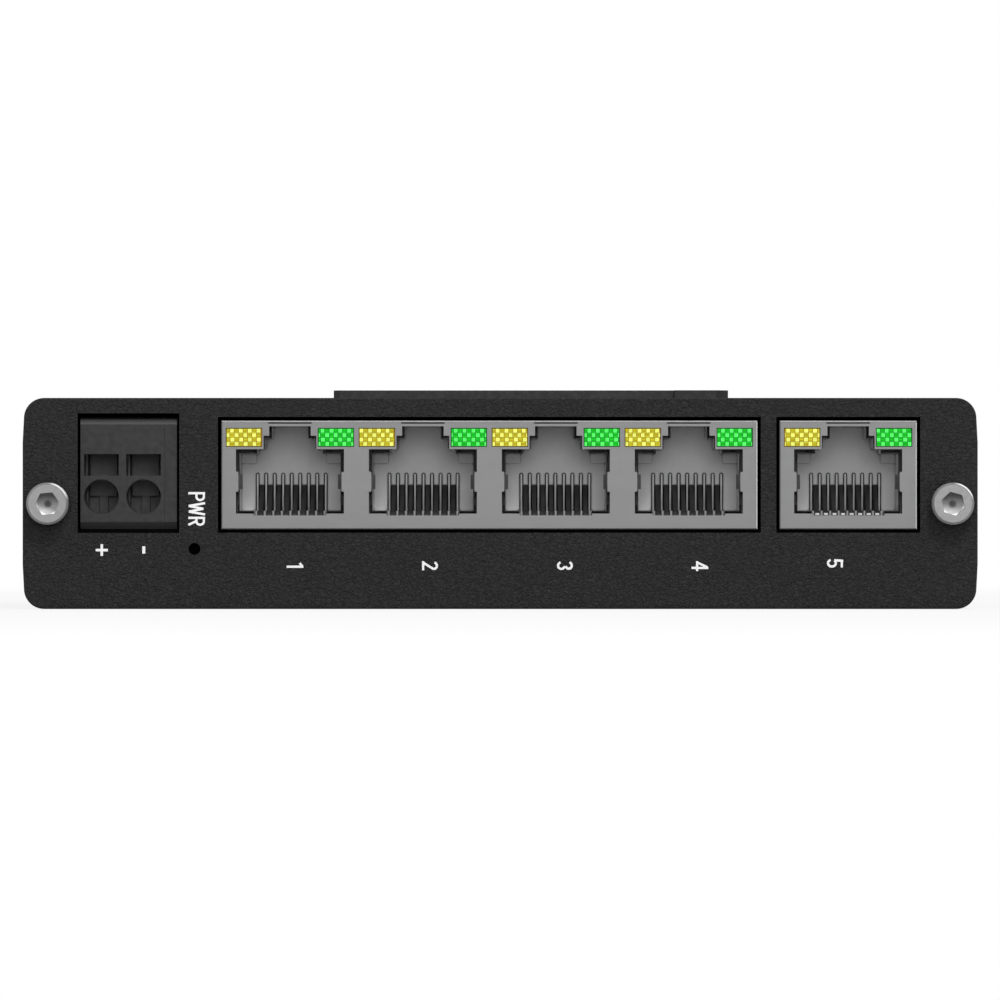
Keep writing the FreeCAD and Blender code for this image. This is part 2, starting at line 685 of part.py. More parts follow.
def circuit_board():
    """Board held by its edges in the tube's slots."""
    body = new_body("circuit_board")
    half = CASE_WIDTH / 2 - size.wall - size.board_side_gap
    outline = Drawing(body, "XY_Plane").rectangle(-half, half, 0, BOARD_LENGTH)
    pad(body, outline, size.board_thickness)
    holes = Drawing(body, "XY_Plane")
    post_row = INSERT_FACE + size.post_setback - BOARD_FRONT
    for port in PORTS:
        for side in (-1, 1):
            holes.circle(port + side * POST_OFFSET, post_row,
                         size.post_width + 2 * size.post_fit)
    pin_row = TERMINAL_FACE + PIN_DEPTH - BOARD_FRONT
    for pole in range(POLES):
        holes.circle(FIRST_POLE + size.pole_pitch * pole, pin_row,
                     size.pin_width * math.sqrt(2) + 2 * size.pin_fit)
    pocket(body, holes, size.board_thickness)
    place(body, 0, BOARD_FRONT, size.board_bottom)


def mouth_outline(drawing):
    """Plug mouth of a shield: a wide slot with a dip for the comb and a stepped latch notch."""
    wide = size.mouth_width / 2
    dip = size.comb_span / 2
    latch = size.latch_width / 2
    notch = size.notch_width / 2
    low = size.mouth_bottom
    right = [
        (dip, low - size.comb_dip),
        (dip, low),
        (wide, low),
        (wide, MOUTH_SHOULDER),
        (latch, MOUTH_SHOULDER),
        (latch, LATCH_TOP),
        (notch, LATCH_TOP),
        (notch, NOTCH_TOP),
    ]
    left = [(-across, up) for across, up in reversed(right)]
    return drawing.outline(right + left)


def jack_shield(label, first_port, count):
    """Folded tin-plated shield: a box open below, with mouths, lamp windows and spring tabs."""
    body = new_body(label)
    sheet = size.shield_sheet
    left = -JACK_SIDE
    right = JACK_SIDE + size.port_pitch * (count - 1)
    fold = size.shield_fold
    box = Drawing(body, offset=fold).rectangle(left, right, 0, size.jack_height)
    pad(body, box, size.jack_depth - fold)
    pad(body, box, fold, backward=False, draft=-45)
    hollow = Drawing(body, offset=sheet)
    hollow.rectangle(left + sheet, right - sheet, -sheet, size.jack_height - sheet)
    pocket(body, hollow, size.jack_depth - 2 * sheet)

    # The first port's openings.
    lamp_half = size.lamp_width / 2
    mouth = mouth_outline(Drawing(body))
    windows = Drawing(body)
    for side in (-1, 1):
        middle = side * LAMP_OFFSET
        windows.rectangle(middle - lamp_half, middle + lamp_half, LAMP_BOTTOM,
                          LAMP_BOTTOM + size.lamp_height)
    windows.rectangle(-size.slit_width / 2, size.slit_width / 2, SLIT, SLIT + size.slit_height)
    features = [pocket(body, mouth, sheet), pocket(body, windows, sheet)]

    # Spring tabs fold back from the sides of the mouth and lean into it.
    edge = size.mouth_width / 2
    tip = edge - size.tab_reach
    bend = size.tab_length * 0.7
    root = Drawing(body)
    tabs = Drawing(body, "XY_Plane", size.tab_bottom)
    for side in (-1, 1):
        root.rectangle(side * edge, side * (edge - size.tab_root),
                       size.tab_bottom - size.tab_root,
                       size.tab_bottom + size.tab_height + size.tab_root)
        tabs.outline([
            (side * edge, 0),
            (side * edge, sheet),
            (side * (tip + sheet), bend),
            (side * (tip + 2 * sheet), size.tab_length),
            (side * (tip + sheet), size.tab_length),
            (side * tip, bend),
            (side * (edge - sheet), 0),
        ])
    features.append(pad(body, root, sheet))
    features.append(pad(body, tabs, size.tab_height))
    if count > 1:
        pattern(body, features, mouth, "H_Axis", size.port_pitch, count)
    place(body, first_port, JACK_FACE, BOARD_TOP)


def cavity_outline(drawing):
    """Plug cavity of an insulator, with its shoulders and latch channel."""
    wide = size.cavity_width / 2
    step = size.cavity_step_width / 2
    latch = size.cavity_latch_width / 2
    notch = size.cavity_notch_width / 2
    right = [
        (wide, size.cavity_floor),
        (wide, CAVITY_SHOULDER),
        (step, CAVITY_SHOULDER),
        (step, CAVITY_STEP),
        (latch, CAVITY_STEP),
        (latch, CAVITY_LATCH_TOP),
        (notch, CAVITY_LATCH_TOP),
        (notch, NOTCH_TOP),
    ]
    left = [(-across, up) for across, up in reversed(right)]
    return drawing.outline(right + left)


def rim_grooves(drawing):
    """Relief grooves beside and under the cavity's mouth, and beside its latch channel."""
    near = size.cavity_width / 2 + size.rim_edge
    far = near + size.rim_groove
    low = size.cavity_floor - size.rim_edge
    high = CAVITY_SHOULDER + size.rim_edge
    tab_low = size.tab_bottom - size.tab_root
    tab_high = size.tab_bottom + size.tab_height + size.tab_root
    step = size.cavity_step_width / 2 + size.rim_edge
    dip = size.comb_span / 2
    notch = size.cavity_notch_width / 2 + size.rim_edge
    latch_top = CAVITY_LATCH_TOP + size.rim_edge
    for side in (-1, 1):
        drawing.outline([
            (side * dip, low),
            (side * near, low),
            (side * near, tab_low),
            (side * far, tab_low),
            (side * far, low - size.rim_groove),
            (side * dip, low - size.rim_groove),
        ])
        drawing.outline([
            (side * near, tab_high),
            (side * near, high),
            (side * step, high),
            (side * step, high + size.rim_groove),
            (side * far, high + size.rim_groove),
            (side * far, tab_high),
        ])
        drawing.rectangle(side * notch, side * (notch + size.rim_groove), latch_top,
                          NOTCH_TOP)
    return drawing


def insulator():
    """Moulded insert of one port: plug cavity, lamp pockets, contact comb and locating posts."""
    body = new_body("port_1_insulator")
    depth = size.insert_depth
    block = Drawing(body).rectangle(-INSERT_HALF, INSERT_HALF, 0, INSERT_HEIGHT)
    pad(body, block, depth)
    grooves = rim_grooves(Drawing(body))
    pocket(body, grooves, size.rim_groove_depth, draft=-size.rim_groove_draft)
    pocket(body, cavity_outline(Drawing(body)), size.cavity_depth)

    # Side reliefs let the shield's spring tabs bend.
    reliefs = Drawing(body)
    edge = size.mouth_width / 2
    for side in (-1, 1):
        reliefs.rectangle(side * (size.cavity_width / 2 - size.rim_edge),
                          side * (edge + size.rim_groove / 2),
                          size.tab_bottom - size.insert_fit,
                          size.tab_bottom + size.tab_height + size.insert_fit)
    pocket(body, reliefs, size.tab_length + size.shield_sheet)

    lamps = Drawing(body)
    half = size.lamp_width / 2 + size.lamp_fit
    for side in (-1, 1):
        middle = side * LAMP_OFFSET
        lamps.rectangle(middle - half, middle + half, LAMP_BOTTOM - size.lamp_fit,
                        LAMP_BOTTOM + size.lamp_height + size.lamp_fit)
    pocket(body, lamps, size.lamp_depth)

    # Channel for the contacts under the cavity's floor, and its way out through the rear wall.
    span = size.comb_span / 2
    channel = Drawing(body).rectangle(-span, span, size.comb_floor,
                                      size.cavity_floor + size.rim_edge)
    pocket(body, channel, size.cavity_depth)
    outlet = Drawing(body, offset=size.cavity_depth - size.rim_edge)
    outlet.rectangle(-span, span, size.comb_floor,
                     size.contact_run_level + size.contact_wire + size.insert_fit)
    pocket(body, outlet, depth - size.cavity_depth + 2 * size.rim_edge)

    # Stop blocks in the cavity's upper corners.
    blocks = Drawing(body, offset=size.cavity_depth - size.corner_block_depth)
    outer = size.cavity_width / 2 + size.rim_edge
    for side in (-1, 1):
        blocks.rectangle(side * outer, side * (outer - size.corner_block_width),
                         CAVITY_SHOULDER - size.corner_block_height,
                         CAVITY_SHOULDER + size.rim_edge)
    pad(body, blocks, size.corner_block_depth + size.rim_edge)

    # Comb: round-topped ribs with bevelled edges on the rear wall, low walls along the floor.
    ribs = Drawing(body, offset=size.cavity_depth - size.rib_depth + size.rib_bevel)
    walls = Drawing(body, offset=size.contact_front + size.contact_wire)
    half = size.rib_width / 2
    for step in range(-CONTACTS // 2, CONTACTS // 2 + 1):
        across = size.contact_pitch * step
        comb_rib(ribs, across)
        walls.rectangle(across - half, across + half, size.comb_floor - size.rim_edge,
                        size.cavity_floor)
    pad(body, walls, size.cavity_depth - size.contact_front)
    pad(body, ribs, size.rib_depth - size.rib_bevel + size.rim_edge)
    pad(body, ribs, size.rib_bevel, backward=False, draft=-45)

    posts = Drawing(body, "XY_Plane")
    for side in (-1, 1):
        posts.circle(side * POST_OFFSET, size.post_setback, size.post_width)
    pad(body, posts, size.post_length, backward=False)
    return body


def comb_rib(drawing, across):
    """A rib with a round top."""
    half = size.rib_width / 2
    return drawing.outline([
        (across - half, size.comb_floor - size.rim_edge),
        (across + half, size.comb_floor - size.rim_edge),
        (across + half, size.rib_top - half),
        (across, size.rib_top, half),
        (across - half, size.rib_top - half, half),
    ])


def contact_wires():
    """Eight sprung wires: a lower run, a bend at the front and a slope up to the comb."""
    body = new_body("port_1_contacts")
    wire = size.contact_wire
    low = size.contact_run_level
    high = size.contact_bend_level
    front = size.contact_front
    tip = size.cavity_depth - size.contact_tip_gap
    climb = size.contact_tip_level
    radius = (high - low) / 2
    middle = (high + low) / 2
    run = Drawing(body, "YZ_Plane", -size.contact_width / 2).outline([
        (size.insert_depth, low),
        (size.insert_depth, low + wire),
        (front + radius, low + wire),
        (front + wire, middle, -(radius - wire)),
        (front + radius, high - wire, -(radius - wire)),
        (tip, climb - wire),
        (tip - wire / 4, climb),
        (front + radius, high),
        (front, middle, radius),
        (front + radius, low, radius),
    ])
    first = pad(body, run, size.contact_width)
    across = Drawing(body, "XY_Plane").circle(0, 0, size.contact_width)
    pattern(body, [first], across, "H_Axis", size.contact_pitch, CONTACTS)
    return body


def signal_lamp():
    """A rectangular signal lamp that fills a pocket over a corner of the plug mouth."""
    body = new_body("port_1_lamp_yellow")
    half = size.lamp_width / 2
    reach = size.insert_setback - size.lamp_setback
    face = Drawing(body).rectangle(-half, half, 0, size.lamp_height)
    pad(body, face, size.lamp_depth + reach)
    return body


def magnetics(label, first_port, count):
    """Potted transformer blocks behind the ports, one for each port."""
    body = new_body(label)
    start = size.insert_setback + size.insert_depth
    block = Drawing(body).rectangle(-INSERT_HALF, INSERT_HALF, 0, INSERT_HEIGHT)
    depth = size.jack_depth - size.shield_sheet - size.insert_fit - start
    potted = pad(body, block, depth)
    if count > 1:
        pattern(body, [potted], block, "H_Axis", size.port_pitch, count)
    place(body, first_port, JACK_FACE + start, BOARD_TOP)


def network_jacks():
    """The four-port jack and the single jack, each with its own shield."""
    jack_shield("four_port_shield", FIRST_PORT, QUAD_PORTS)
    jack_shield("single_port_shield", SOLO_PORT, 1)
    magnetics("four_port_magnetics", FIRST_PORT, QUAD_PORTS)
    magnetics("single_port_magnetics", SOLO_PORT, 1)
    insert = insulator()
    wires = contact_wires()
    lamp = signal_lamp()
    lamp_face = JACK_FACE + size.lamp_setback
    for number, port in enumerate(PORTS, start=1):
        if number > 1:
            insert = copy_of(insert, f"port_{number}_insulator")
            wires = copy_of(wires, f"port_{number}_contacts")
            lamp = copy_of(lamp, f"port_{number}_lamp_yellow")
        other_lamp = copy_of(lamp, f"port_{number}_lamp_green")
        place(insert, port, INSERT_FACE, BOARD_TOP)
        first_wire = port - size.contact_pitch * ((CONTACTS - 1) / 2)
        place(wires, first_wire, INSERT_FACE, BOARD_TOP)
        place(lamp, port - LAMP_OFFSET, lamp_face, BOARD_TOP + LAMP_BOTTOM)
        place(other_lamp, port + LAMP_OFFSET, lamp_face, BOARD_TOP + LAMP_BOTTOM)


def terminal_side(drawing):
    """Side view of the terminal block: a box with bevelled upper and lower front edges."""
    bevel = size.terminal_bevel
    return drawing.outline([
        (0, bevel),
        (bevel, 0),
        (size.terminal_depth, 0),
        (size.terminal_depth, TERMINAL_HEIGHT),
        (bevel, TERMINAL_HEIGHT),
        (0, TERMINAL_HEIGHT - bevel),
    ])


def terminal_block():
    """Two-pole screwless terminal: housing and side plate."""
    body = new_body("terminal_housing")
    half = size.pole_pitch / 2
    pad(body, terminal_side(Drawing(body, "YZ_Plane", -half)), size.pole_pitch * POLES)
    openings = Drawing(body).circle(0, size.entry_level, size.entry_width)
    entry = pocket(body, openings, size.entry_depth)
    slots = Drawing(body)
    slots.rectangle(-size.driver_width / 2, size.driver_width / 2, size.driver_bottom,
                    size.driver_bottom + size.driver_height)
    driver = pocket(body, slots, size.driver_depth)
    room = Drawing(body, offset=size.driver_depth)
    room.rectangle(-size.chamber_width / 2, size.chamber_width / 2, size.chamber_bottom,
                   size.chamber_bottom + size.chamber_height)
    chamber = pocket(body, room, size.chamber_depth)
    exit_hole = Drawing(body, "XY_Plane")
    pin_half = size.pin_width / 2 + size.clamp_fit
    exit_hole.rectangle(-pin_half, pin_half, PIN_DEPTH - pin_half, PIN_DEPTH + pin_half)
    outlet = pocket(body, exit_hole, size.chamber_bottom)
    pattern(body, [entry, driver, chamber, outlet], openings, "H_Axis", size.pole_pitch, POLES)
    place(body, FIRST_POLE, TERMINAL_FACE, BOARD_TOP)

    plate = new_body("terminal_side_plate")
    pad(plate, terminal_side(Drawing(plate, "YZ_Plane")), size.end_plate)
    place(plate, TERMINAL_RIGHT - size.end_plate, TERMINAL_FACE, BOARD_TOP)


def terminal_contacts():
    """A bent spring strip in each chamber that presses the wire down on the foot of a pin."""
    springs = new_body("terminal_clamps")
    sheet = size.clamp_sheet
    fit = size.clamp_fit
    front = size.driver_depth + fit
    rear = PIN_DEPTH - size.pin_width / 2 - fit
    low = size.chamber_bottom + fit
    high = size.chamber_bottom + size.chamber_height - fit
    end = size.entry_level + fit
    strip = Drawing(springs, "YZ_Plane", -size.clamp_width / 2).outline([
        (rear, end),
        (rear, high),
        (front, high),
        (front, high - sheet),
        (rear - sheet, high - sheet),
        (rear - sheet, end),
    ])
    spring = pad(springs, strip, size.clamp_width)
    across = Drawing(springs, "XY_Plane").circle(0, 0, size.clamp_width)
    pattern(springs, [spring], across, "H_Axis", size.pole_pitch, POLES)
    place(springs, FIRST_POLE, TERMINAL_FACE, BOARD_TOP)

    pins = new_body("terminal_pins")
    pin_top = high - size.chamber_bottom - 2 * sheet
    post = Drawing(pins, "XY_Plane", pin_top)
    half = size.pin_width / 2
    post.rectangle(-half, half, PIN_DEPTH - half, PIN_DEPTH + half)
    stem = pad(pins, post, pin_top + size.pin_length, backward=False)
    foot = Drawing(pins, "YZ_Plane", -size.clamp_width / 2)
    foot.rectangle(front, PIN_DEPTH, low, low + sheet)
    tread = pad(pins, foot, size.clamp_width)
    pattern(pins, [stem, tread], post, "H_Axis", size.pole_pitch, POLES)
    place(pins, FIRST_POLE, TERMINAL_FACE, BOARD_TOP)


def power_lamp():
    """Side-looking lamp under the board, behind its hole in the panel."""
    body = new_body("power_lamp")
    half = size.side_lamp_width / 2
    height = 2 * (size.board_bottom - LAMP_LEVEL)
    dome = size.lamp_hole / 2
    block = Drawing(body).rectangle(-half, half, -height, 0)
    pad(body, block, size.side_lamp_depth)
    notch = Drawing(body, "XY_Plane", -height)
    for side in (-1, 1):
        notch.rectangle(side * half, side * dome, 0, size.side_lamp_depth / 2)
    pocket(body, notch, height, backward=True)
    place(body, POWER_LAMP_X, BOARD_FRONT, size.board_bottom)


def rail_bracket():
    """Moulded bracket: a fixed lip at one end and a hook on a bending arm at the other."""
    body = new_body("rail_bracket")
    left = RAIL_LEFT - size.fixed_end
    right = RAIL_RIGHT + size.hook_end
    seat = size.bracket_base
    slot = seat + size.rail_slot
    rear = slot + size.bracket_lip
    bevel = size.outer_bevel
    outline = Drawing(body, "XY_Plane", size.bracket_bottom).outline([
        (left + size.bracket_bevel, 0),
        (right - size.hook_bevel, 0),
        (right, size.hook_bevel),
        (right, rear - bevel),
        (right - bevel, rear),
        (RAIL_RIGHT, rear),
        (RAIL_RIGHT - size.hook_lip, slot + size.rail_slot),
        (RAIL_RIGHT - size.hook_lip, slot),
        (RAIL_RIGHT, slot),
        (RAIL_RIGHT, seat),
        (SLOT_END, seat),
        (SLOT_END, slot),
        (SLOT_END + size.fixed_lip, slot),
        (SLOT_END + size.fixed_lip, slot + size.rail_slot / 2),
        (SLOT_END + size.fixed_lip / 2, rear),
        (left + bevel, rear),
        (left, rear - bevel),
        (left, size.bracket_bevel),
    ])
    height = BRACKET_TOP - size.bracket_bottom
    pad(body, outline, height)

    # The arm bends about the end of a slit that is open at the hook's side.
    root = RAIL_RIGHT - size.arm_length
    slit_top = seat - size.flex_arm
    slit = Drawing(body, "XY_Plane", size.bracket_bottom).outline([
        (root, slit_top - size.flex_slit),
        (right + size.flex_slit, slit_top - size.flex_slit),
        (right + size.flex_slit, slit_top),
        (root, slit_top),
    ])
    pocket(body, slit, height, backward=True)

    # Lug of the hook end that stands over the case's top edge.
    lug = Drawing(body, "XY_Plane", CASE_HEIGHT + size.lug_gap).outline([
        (RAIL_RIGHT, -size.lug_reach),
        (right - size.hook_bevel, -size.lug_reach),
        (right, size.hook_bevel - size.lug_reach),
        (right, size.hook_bevel),
        (RAIL_RIGHT, size.hook_bevel),
    ])
    pad(body, lug, BRACKET_TOP - CASE_HEIGHT - size.lug_gap)

    # Pocket that holds the spring beside the fixed slot.
    play = size.spring_fit
    span = size.spring_span / 2 + play
    room = Drawing(body, "XZ_Plane", seat)
    room.rectangle(SLOT_END - size.spring_pocket, SLOT_END + play,
                   BRACKET_MIDDLE - span, BRACKET_MIDDLE + span)
    pocket(body, room, size.rail_slot)

    # Countersunk screw holes.
    bore = size.thread + 2 * size.screw_fit
    holes = Drawing(body)
    cones = Drawing(body, offset=seat)
    for across in (BRACKET_SCREW, BRACKET_SCREW + BRACKET_PITCH):
        holes.circle(across, BRACKET_MIDDLE, bore)
        cones.circle(across, BRACKET_MIDDLE, size.sink_width + 2 * size.screw_fit)
    pocket(body, holes, seat)
    pocket(body, cones, (size.sink_width - size.thread) / 2, backward=False, draft=-45)
    place(body, back=BACK)


def bracket_screws():
    """Two countersunk screws, heads flush with the rail seat."""
    body = new_body("bracket_screws")
    radius = size.thread / 2
    head = size.sink_width / 2
    profile = Drawing(body, "XY_Plane").outline([
        (0, 0),
        (head, 0),
        (radius, radius - head),
        (radius, -size.bracket_screw_length),
        (0, -size.bracket_screw_length),
    ])
    screw = turned(body, profile, "V_Axis")
    socket_face = Drawing(body).hexagon(sized(0), sized(0), size.sink_hex, sized(0))
    socket = pocket(body, socket_face, size.sink_hex_depth, backward=False)
    pattern(body, [screw, socket], profile, "H_Axis", BRACKET_PITCH, 2)
    place(body, BRACKET_SCREW, BACK + size.bracket_base, BRACKET_MIDDLE)


def press_nuts():
    """Two press nuts in the rear panel."""
    body = new_body("press_nuts")
    bore = size.thread / 2 + size.screw_fit
    profile = Drawing(body, "XY_Plane").outline([
        (bore, -size.nut_height),
        (size.nut_flange / 2, -size.nut_height),
        (size.nut_flange / 2, 0),
        (size.nut_shank / 2, 0),
        (size.nut_shank / 2, size.panel_thickness),
        (bore, size.panel_thickness),
    ])
    nut = turned(body, profile, "V_Axis")
    pattern(body, [nut], profile, "H_Axis", BRACKET_PITCH, 2)
    place(body, BRACKET_SCREW, REAR, BRACKET_MIDDLE)


def rail_spring():
    """Bowed steel strip that presses on the rail's edge."""
    body = new_body("rail_spring")
    half = size.spring_span / 2
    sag = size.spring_sag
    wire = size.spring_wire
    arc_radius = (half * half + sag * sag) / (2 * sag)
    bow = Drawing(body).outline([
        (0, -half, -arc_radius),
        (wire, -half),
        (wire, half, arc_radius),
        (0, half),
    ])
    pad(body, bow, size.spring_width)
    place(body, SLOT_END - size.spring_pocket + size.spring_fit,
          BACK + size.bracket_base + (size.rail_slot - size.spring_width) / 2, BRACKET_MIDDLE)


def footed_block(label, length, width, height, across, back, lean=0.0):
    """A moulded chip body with a solder foot at each end."""
    body = new_body(label)
    block = Drawing(body, "XY_Plane", size.foot_sheet)
    block.rectangle(-length / 2, length / 2, -width / 2, width / 2)
    pad(body, block, height - size.foot_sheet, draft=-lean)
    feet = Drawing(body, "XY_Plane")
    feet.rectangle(-length / 2 - size.foot, length / 2 + size.foot, -width / 4, width / 4)
    pad(body, feet, size.foot_sheet)
    place(body, across, BOARD_FRONT + back, BOARD_TOP)


def board_chips():
    """Power input in a line behind the terminal block, regulator and switch chip beside it."""
    draft = size.chip_draft
    footed_block("resettable_fuse", size.fuse_length, size.fuse_width, size.fuse_height,
                 INPUT_X, FUSE_Y)
    footed_block("surge_suppressor", size.surge_length, size.surge_width, size.surge_height,
                 INPUT_X, SURGE_Y, draft)
    footed_block("bridge_rectifier", size.bridge_length, size.bridge_width,
                 size.bridge_height, INPUT_X, BRIDGE_Y, draft)
    beside = size.inductor_width / 2 + size.part_gap + size.foot + size.regulator_length / 2
    footed_block("regulator_chip", size.regulator_length, size.regulator_width,
                 size.regulator_height, INPUT_X + beside, INDUCTOR_Y, draft)
    footed_block("switch_chip", size.chip_width, size.chip_width, size.chip_height,
                 CHIP_X, CAPACITOR_Y)


def bulk_capacitors():
    """Two can capacitors on square feet with two corners cut."""
    body = new_body("bulk_capacitors")
    half = size.capacitor_base / 2
    cut = size.capacitor_base / 8
    foot = Drawing(body, "XY_Plane").outline([
        (-half, -half), (half - cut, -half), (half, cut - half), (half, half - cut),
        (half - cut, half), (-half, half),
    ])
    base = pad(body, foot, size.capacitor_foot)
    ring = Drawing(body, "XY_Plane").circle(0, 0, size.capacitor_width)
    can = pad(body, ring, size.capacitor_height)
    pitch = size.capacitor_base + size.part_gap
    pattern(body, [base, can], foot, "H_Axis", pitch, 2)
    place(body, INPUT_X, BOARD_FRONT + CAPACITOR_Y, BOARD_TOP)


def power_inductor():
    """Moulded inductor with its four corners cut."""
    body = new_body("power_inductor")
    half = size.inductor_width / 2
    cut = size.inductor_width / 6
    outline = Drawing(body, "XY_Plane").outline([
        (-half, cut - half), (cut - half, -half), (half - cut, -half), (half, cut - half),
        (half, half - cut), (half - cut, half), (cut - half, half), (-half, half - cut),
    ])
    pad(body, outline, size.inductor_height)
    place(body, INPUT_X, BOARD_FRONT + INDUCTOR_Y, BOARD_TOP)


def crystal():
    """Round-ended metal can beside the switch chip."""
    body = new_body("crystal")
    straight = (size.crystal_length - size.crystal_width) / 2
    radius = size.crystal_width / 2
    outline = Drawing(body, "XY_Plane").outline([
        (-straight, -radius, radius),
        (straight, -radius),
        (straight + radius, 0, radius),
        (straight, radius, radius),
        (-straight, radius),
        (-straight - radius, 0, radius),
    ])
    pad(body, outline, size.crystal_height)
    beside = size.chip_width / 2 + size.foot + size.part_gap + size.crystal_length / 2
    place(body, CHIP_X + beside, BOARD_FRONT + CAPACITOR_Y, BOARD_TOP)


def check_document():
    """Stop if any object failed or any sub-part has no sound solid."""
    for item in doc.Objects:
        if {"Invalid", "Error"} & set(item.State):
            raise RuntimeError(f"{item.Label} did not compute: {item.State}")
    for part in parts:
        if part.Shape.isNull() or not part.Shape.isValid() or not part.Shape.Solids:
            raise RuntimeError(f"{part.Label} has no sound solid")


def write_parts():
    os.makedirs("parts", exist_ok=True)
    for part in parts:
        part.Shape.exportStep(f"parts/{part.Label}.step")
        print(part.Label, len(part.Shape.Solids), round(part.Shape.Volume, 2))


extruded_tube()
front_panel()
rear_panel()
case_screws()
circuit_board()
network_jacks()
terminal_block()
terminal_contacts()
power_lamp()
rail_bracket()
bracket_screws()
press_nuts()
rail_spring()
board_chips()
bulk_capacitors()
power_inductor()
crystal()
doc.recompute()
check_document()
write_parts()
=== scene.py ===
import math
import random

import bmesh
import bpy
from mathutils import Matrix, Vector

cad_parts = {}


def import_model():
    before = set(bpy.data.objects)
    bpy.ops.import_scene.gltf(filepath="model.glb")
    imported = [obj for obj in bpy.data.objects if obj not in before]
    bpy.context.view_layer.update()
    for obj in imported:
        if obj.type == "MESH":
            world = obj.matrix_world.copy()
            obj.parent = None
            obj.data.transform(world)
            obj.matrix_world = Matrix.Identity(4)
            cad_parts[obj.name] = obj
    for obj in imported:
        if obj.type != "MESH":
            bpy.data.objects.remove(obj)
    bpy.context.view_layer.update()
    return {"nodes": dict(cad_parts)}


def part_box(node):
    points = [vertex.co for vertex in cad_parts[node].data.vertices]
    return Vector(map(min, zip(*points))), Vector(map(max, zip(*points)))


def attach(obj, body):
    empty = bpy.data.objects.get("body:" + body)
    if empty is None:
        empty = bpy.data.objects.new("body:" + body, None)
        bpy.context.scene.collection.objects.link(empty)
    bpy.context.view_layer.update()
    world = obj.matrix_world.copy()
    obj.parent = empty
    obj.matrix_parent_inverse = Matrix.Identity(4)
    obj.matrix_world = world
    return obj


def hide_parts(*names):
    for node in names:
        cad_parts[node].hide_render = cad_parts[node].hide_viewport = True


# Five-port Ethernet switch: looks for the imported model, lamp lenses, print, light and camera.
# Places are in Blender's metres, so 2 * MM is two millimetres. X runs to the right along the front
# panel, Y from the panel into the case, and Z up. Colours are linear.

MM = 0.001
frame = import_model()

panel_low, panel_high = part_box("front_panel")
FACE = panel_low.y
MIDDLE = (panel_low.z + panel_high.z) / 2
CONTACT_PITCH = 1.016 * MM
PORTS = range(1, 6)
# Where most of a noise's values lie
NOISE_LOW, NOISE_HIGH = 0.3, 0.7


def grey(level):
    """A neutral colour."""
    return level, level, level


def between(low, high, start=0.0):
    """A range given in millimetres from a place in metres."""
    return start + low * MM, start + high * MM


# ---------------------------------------------------------------- materials

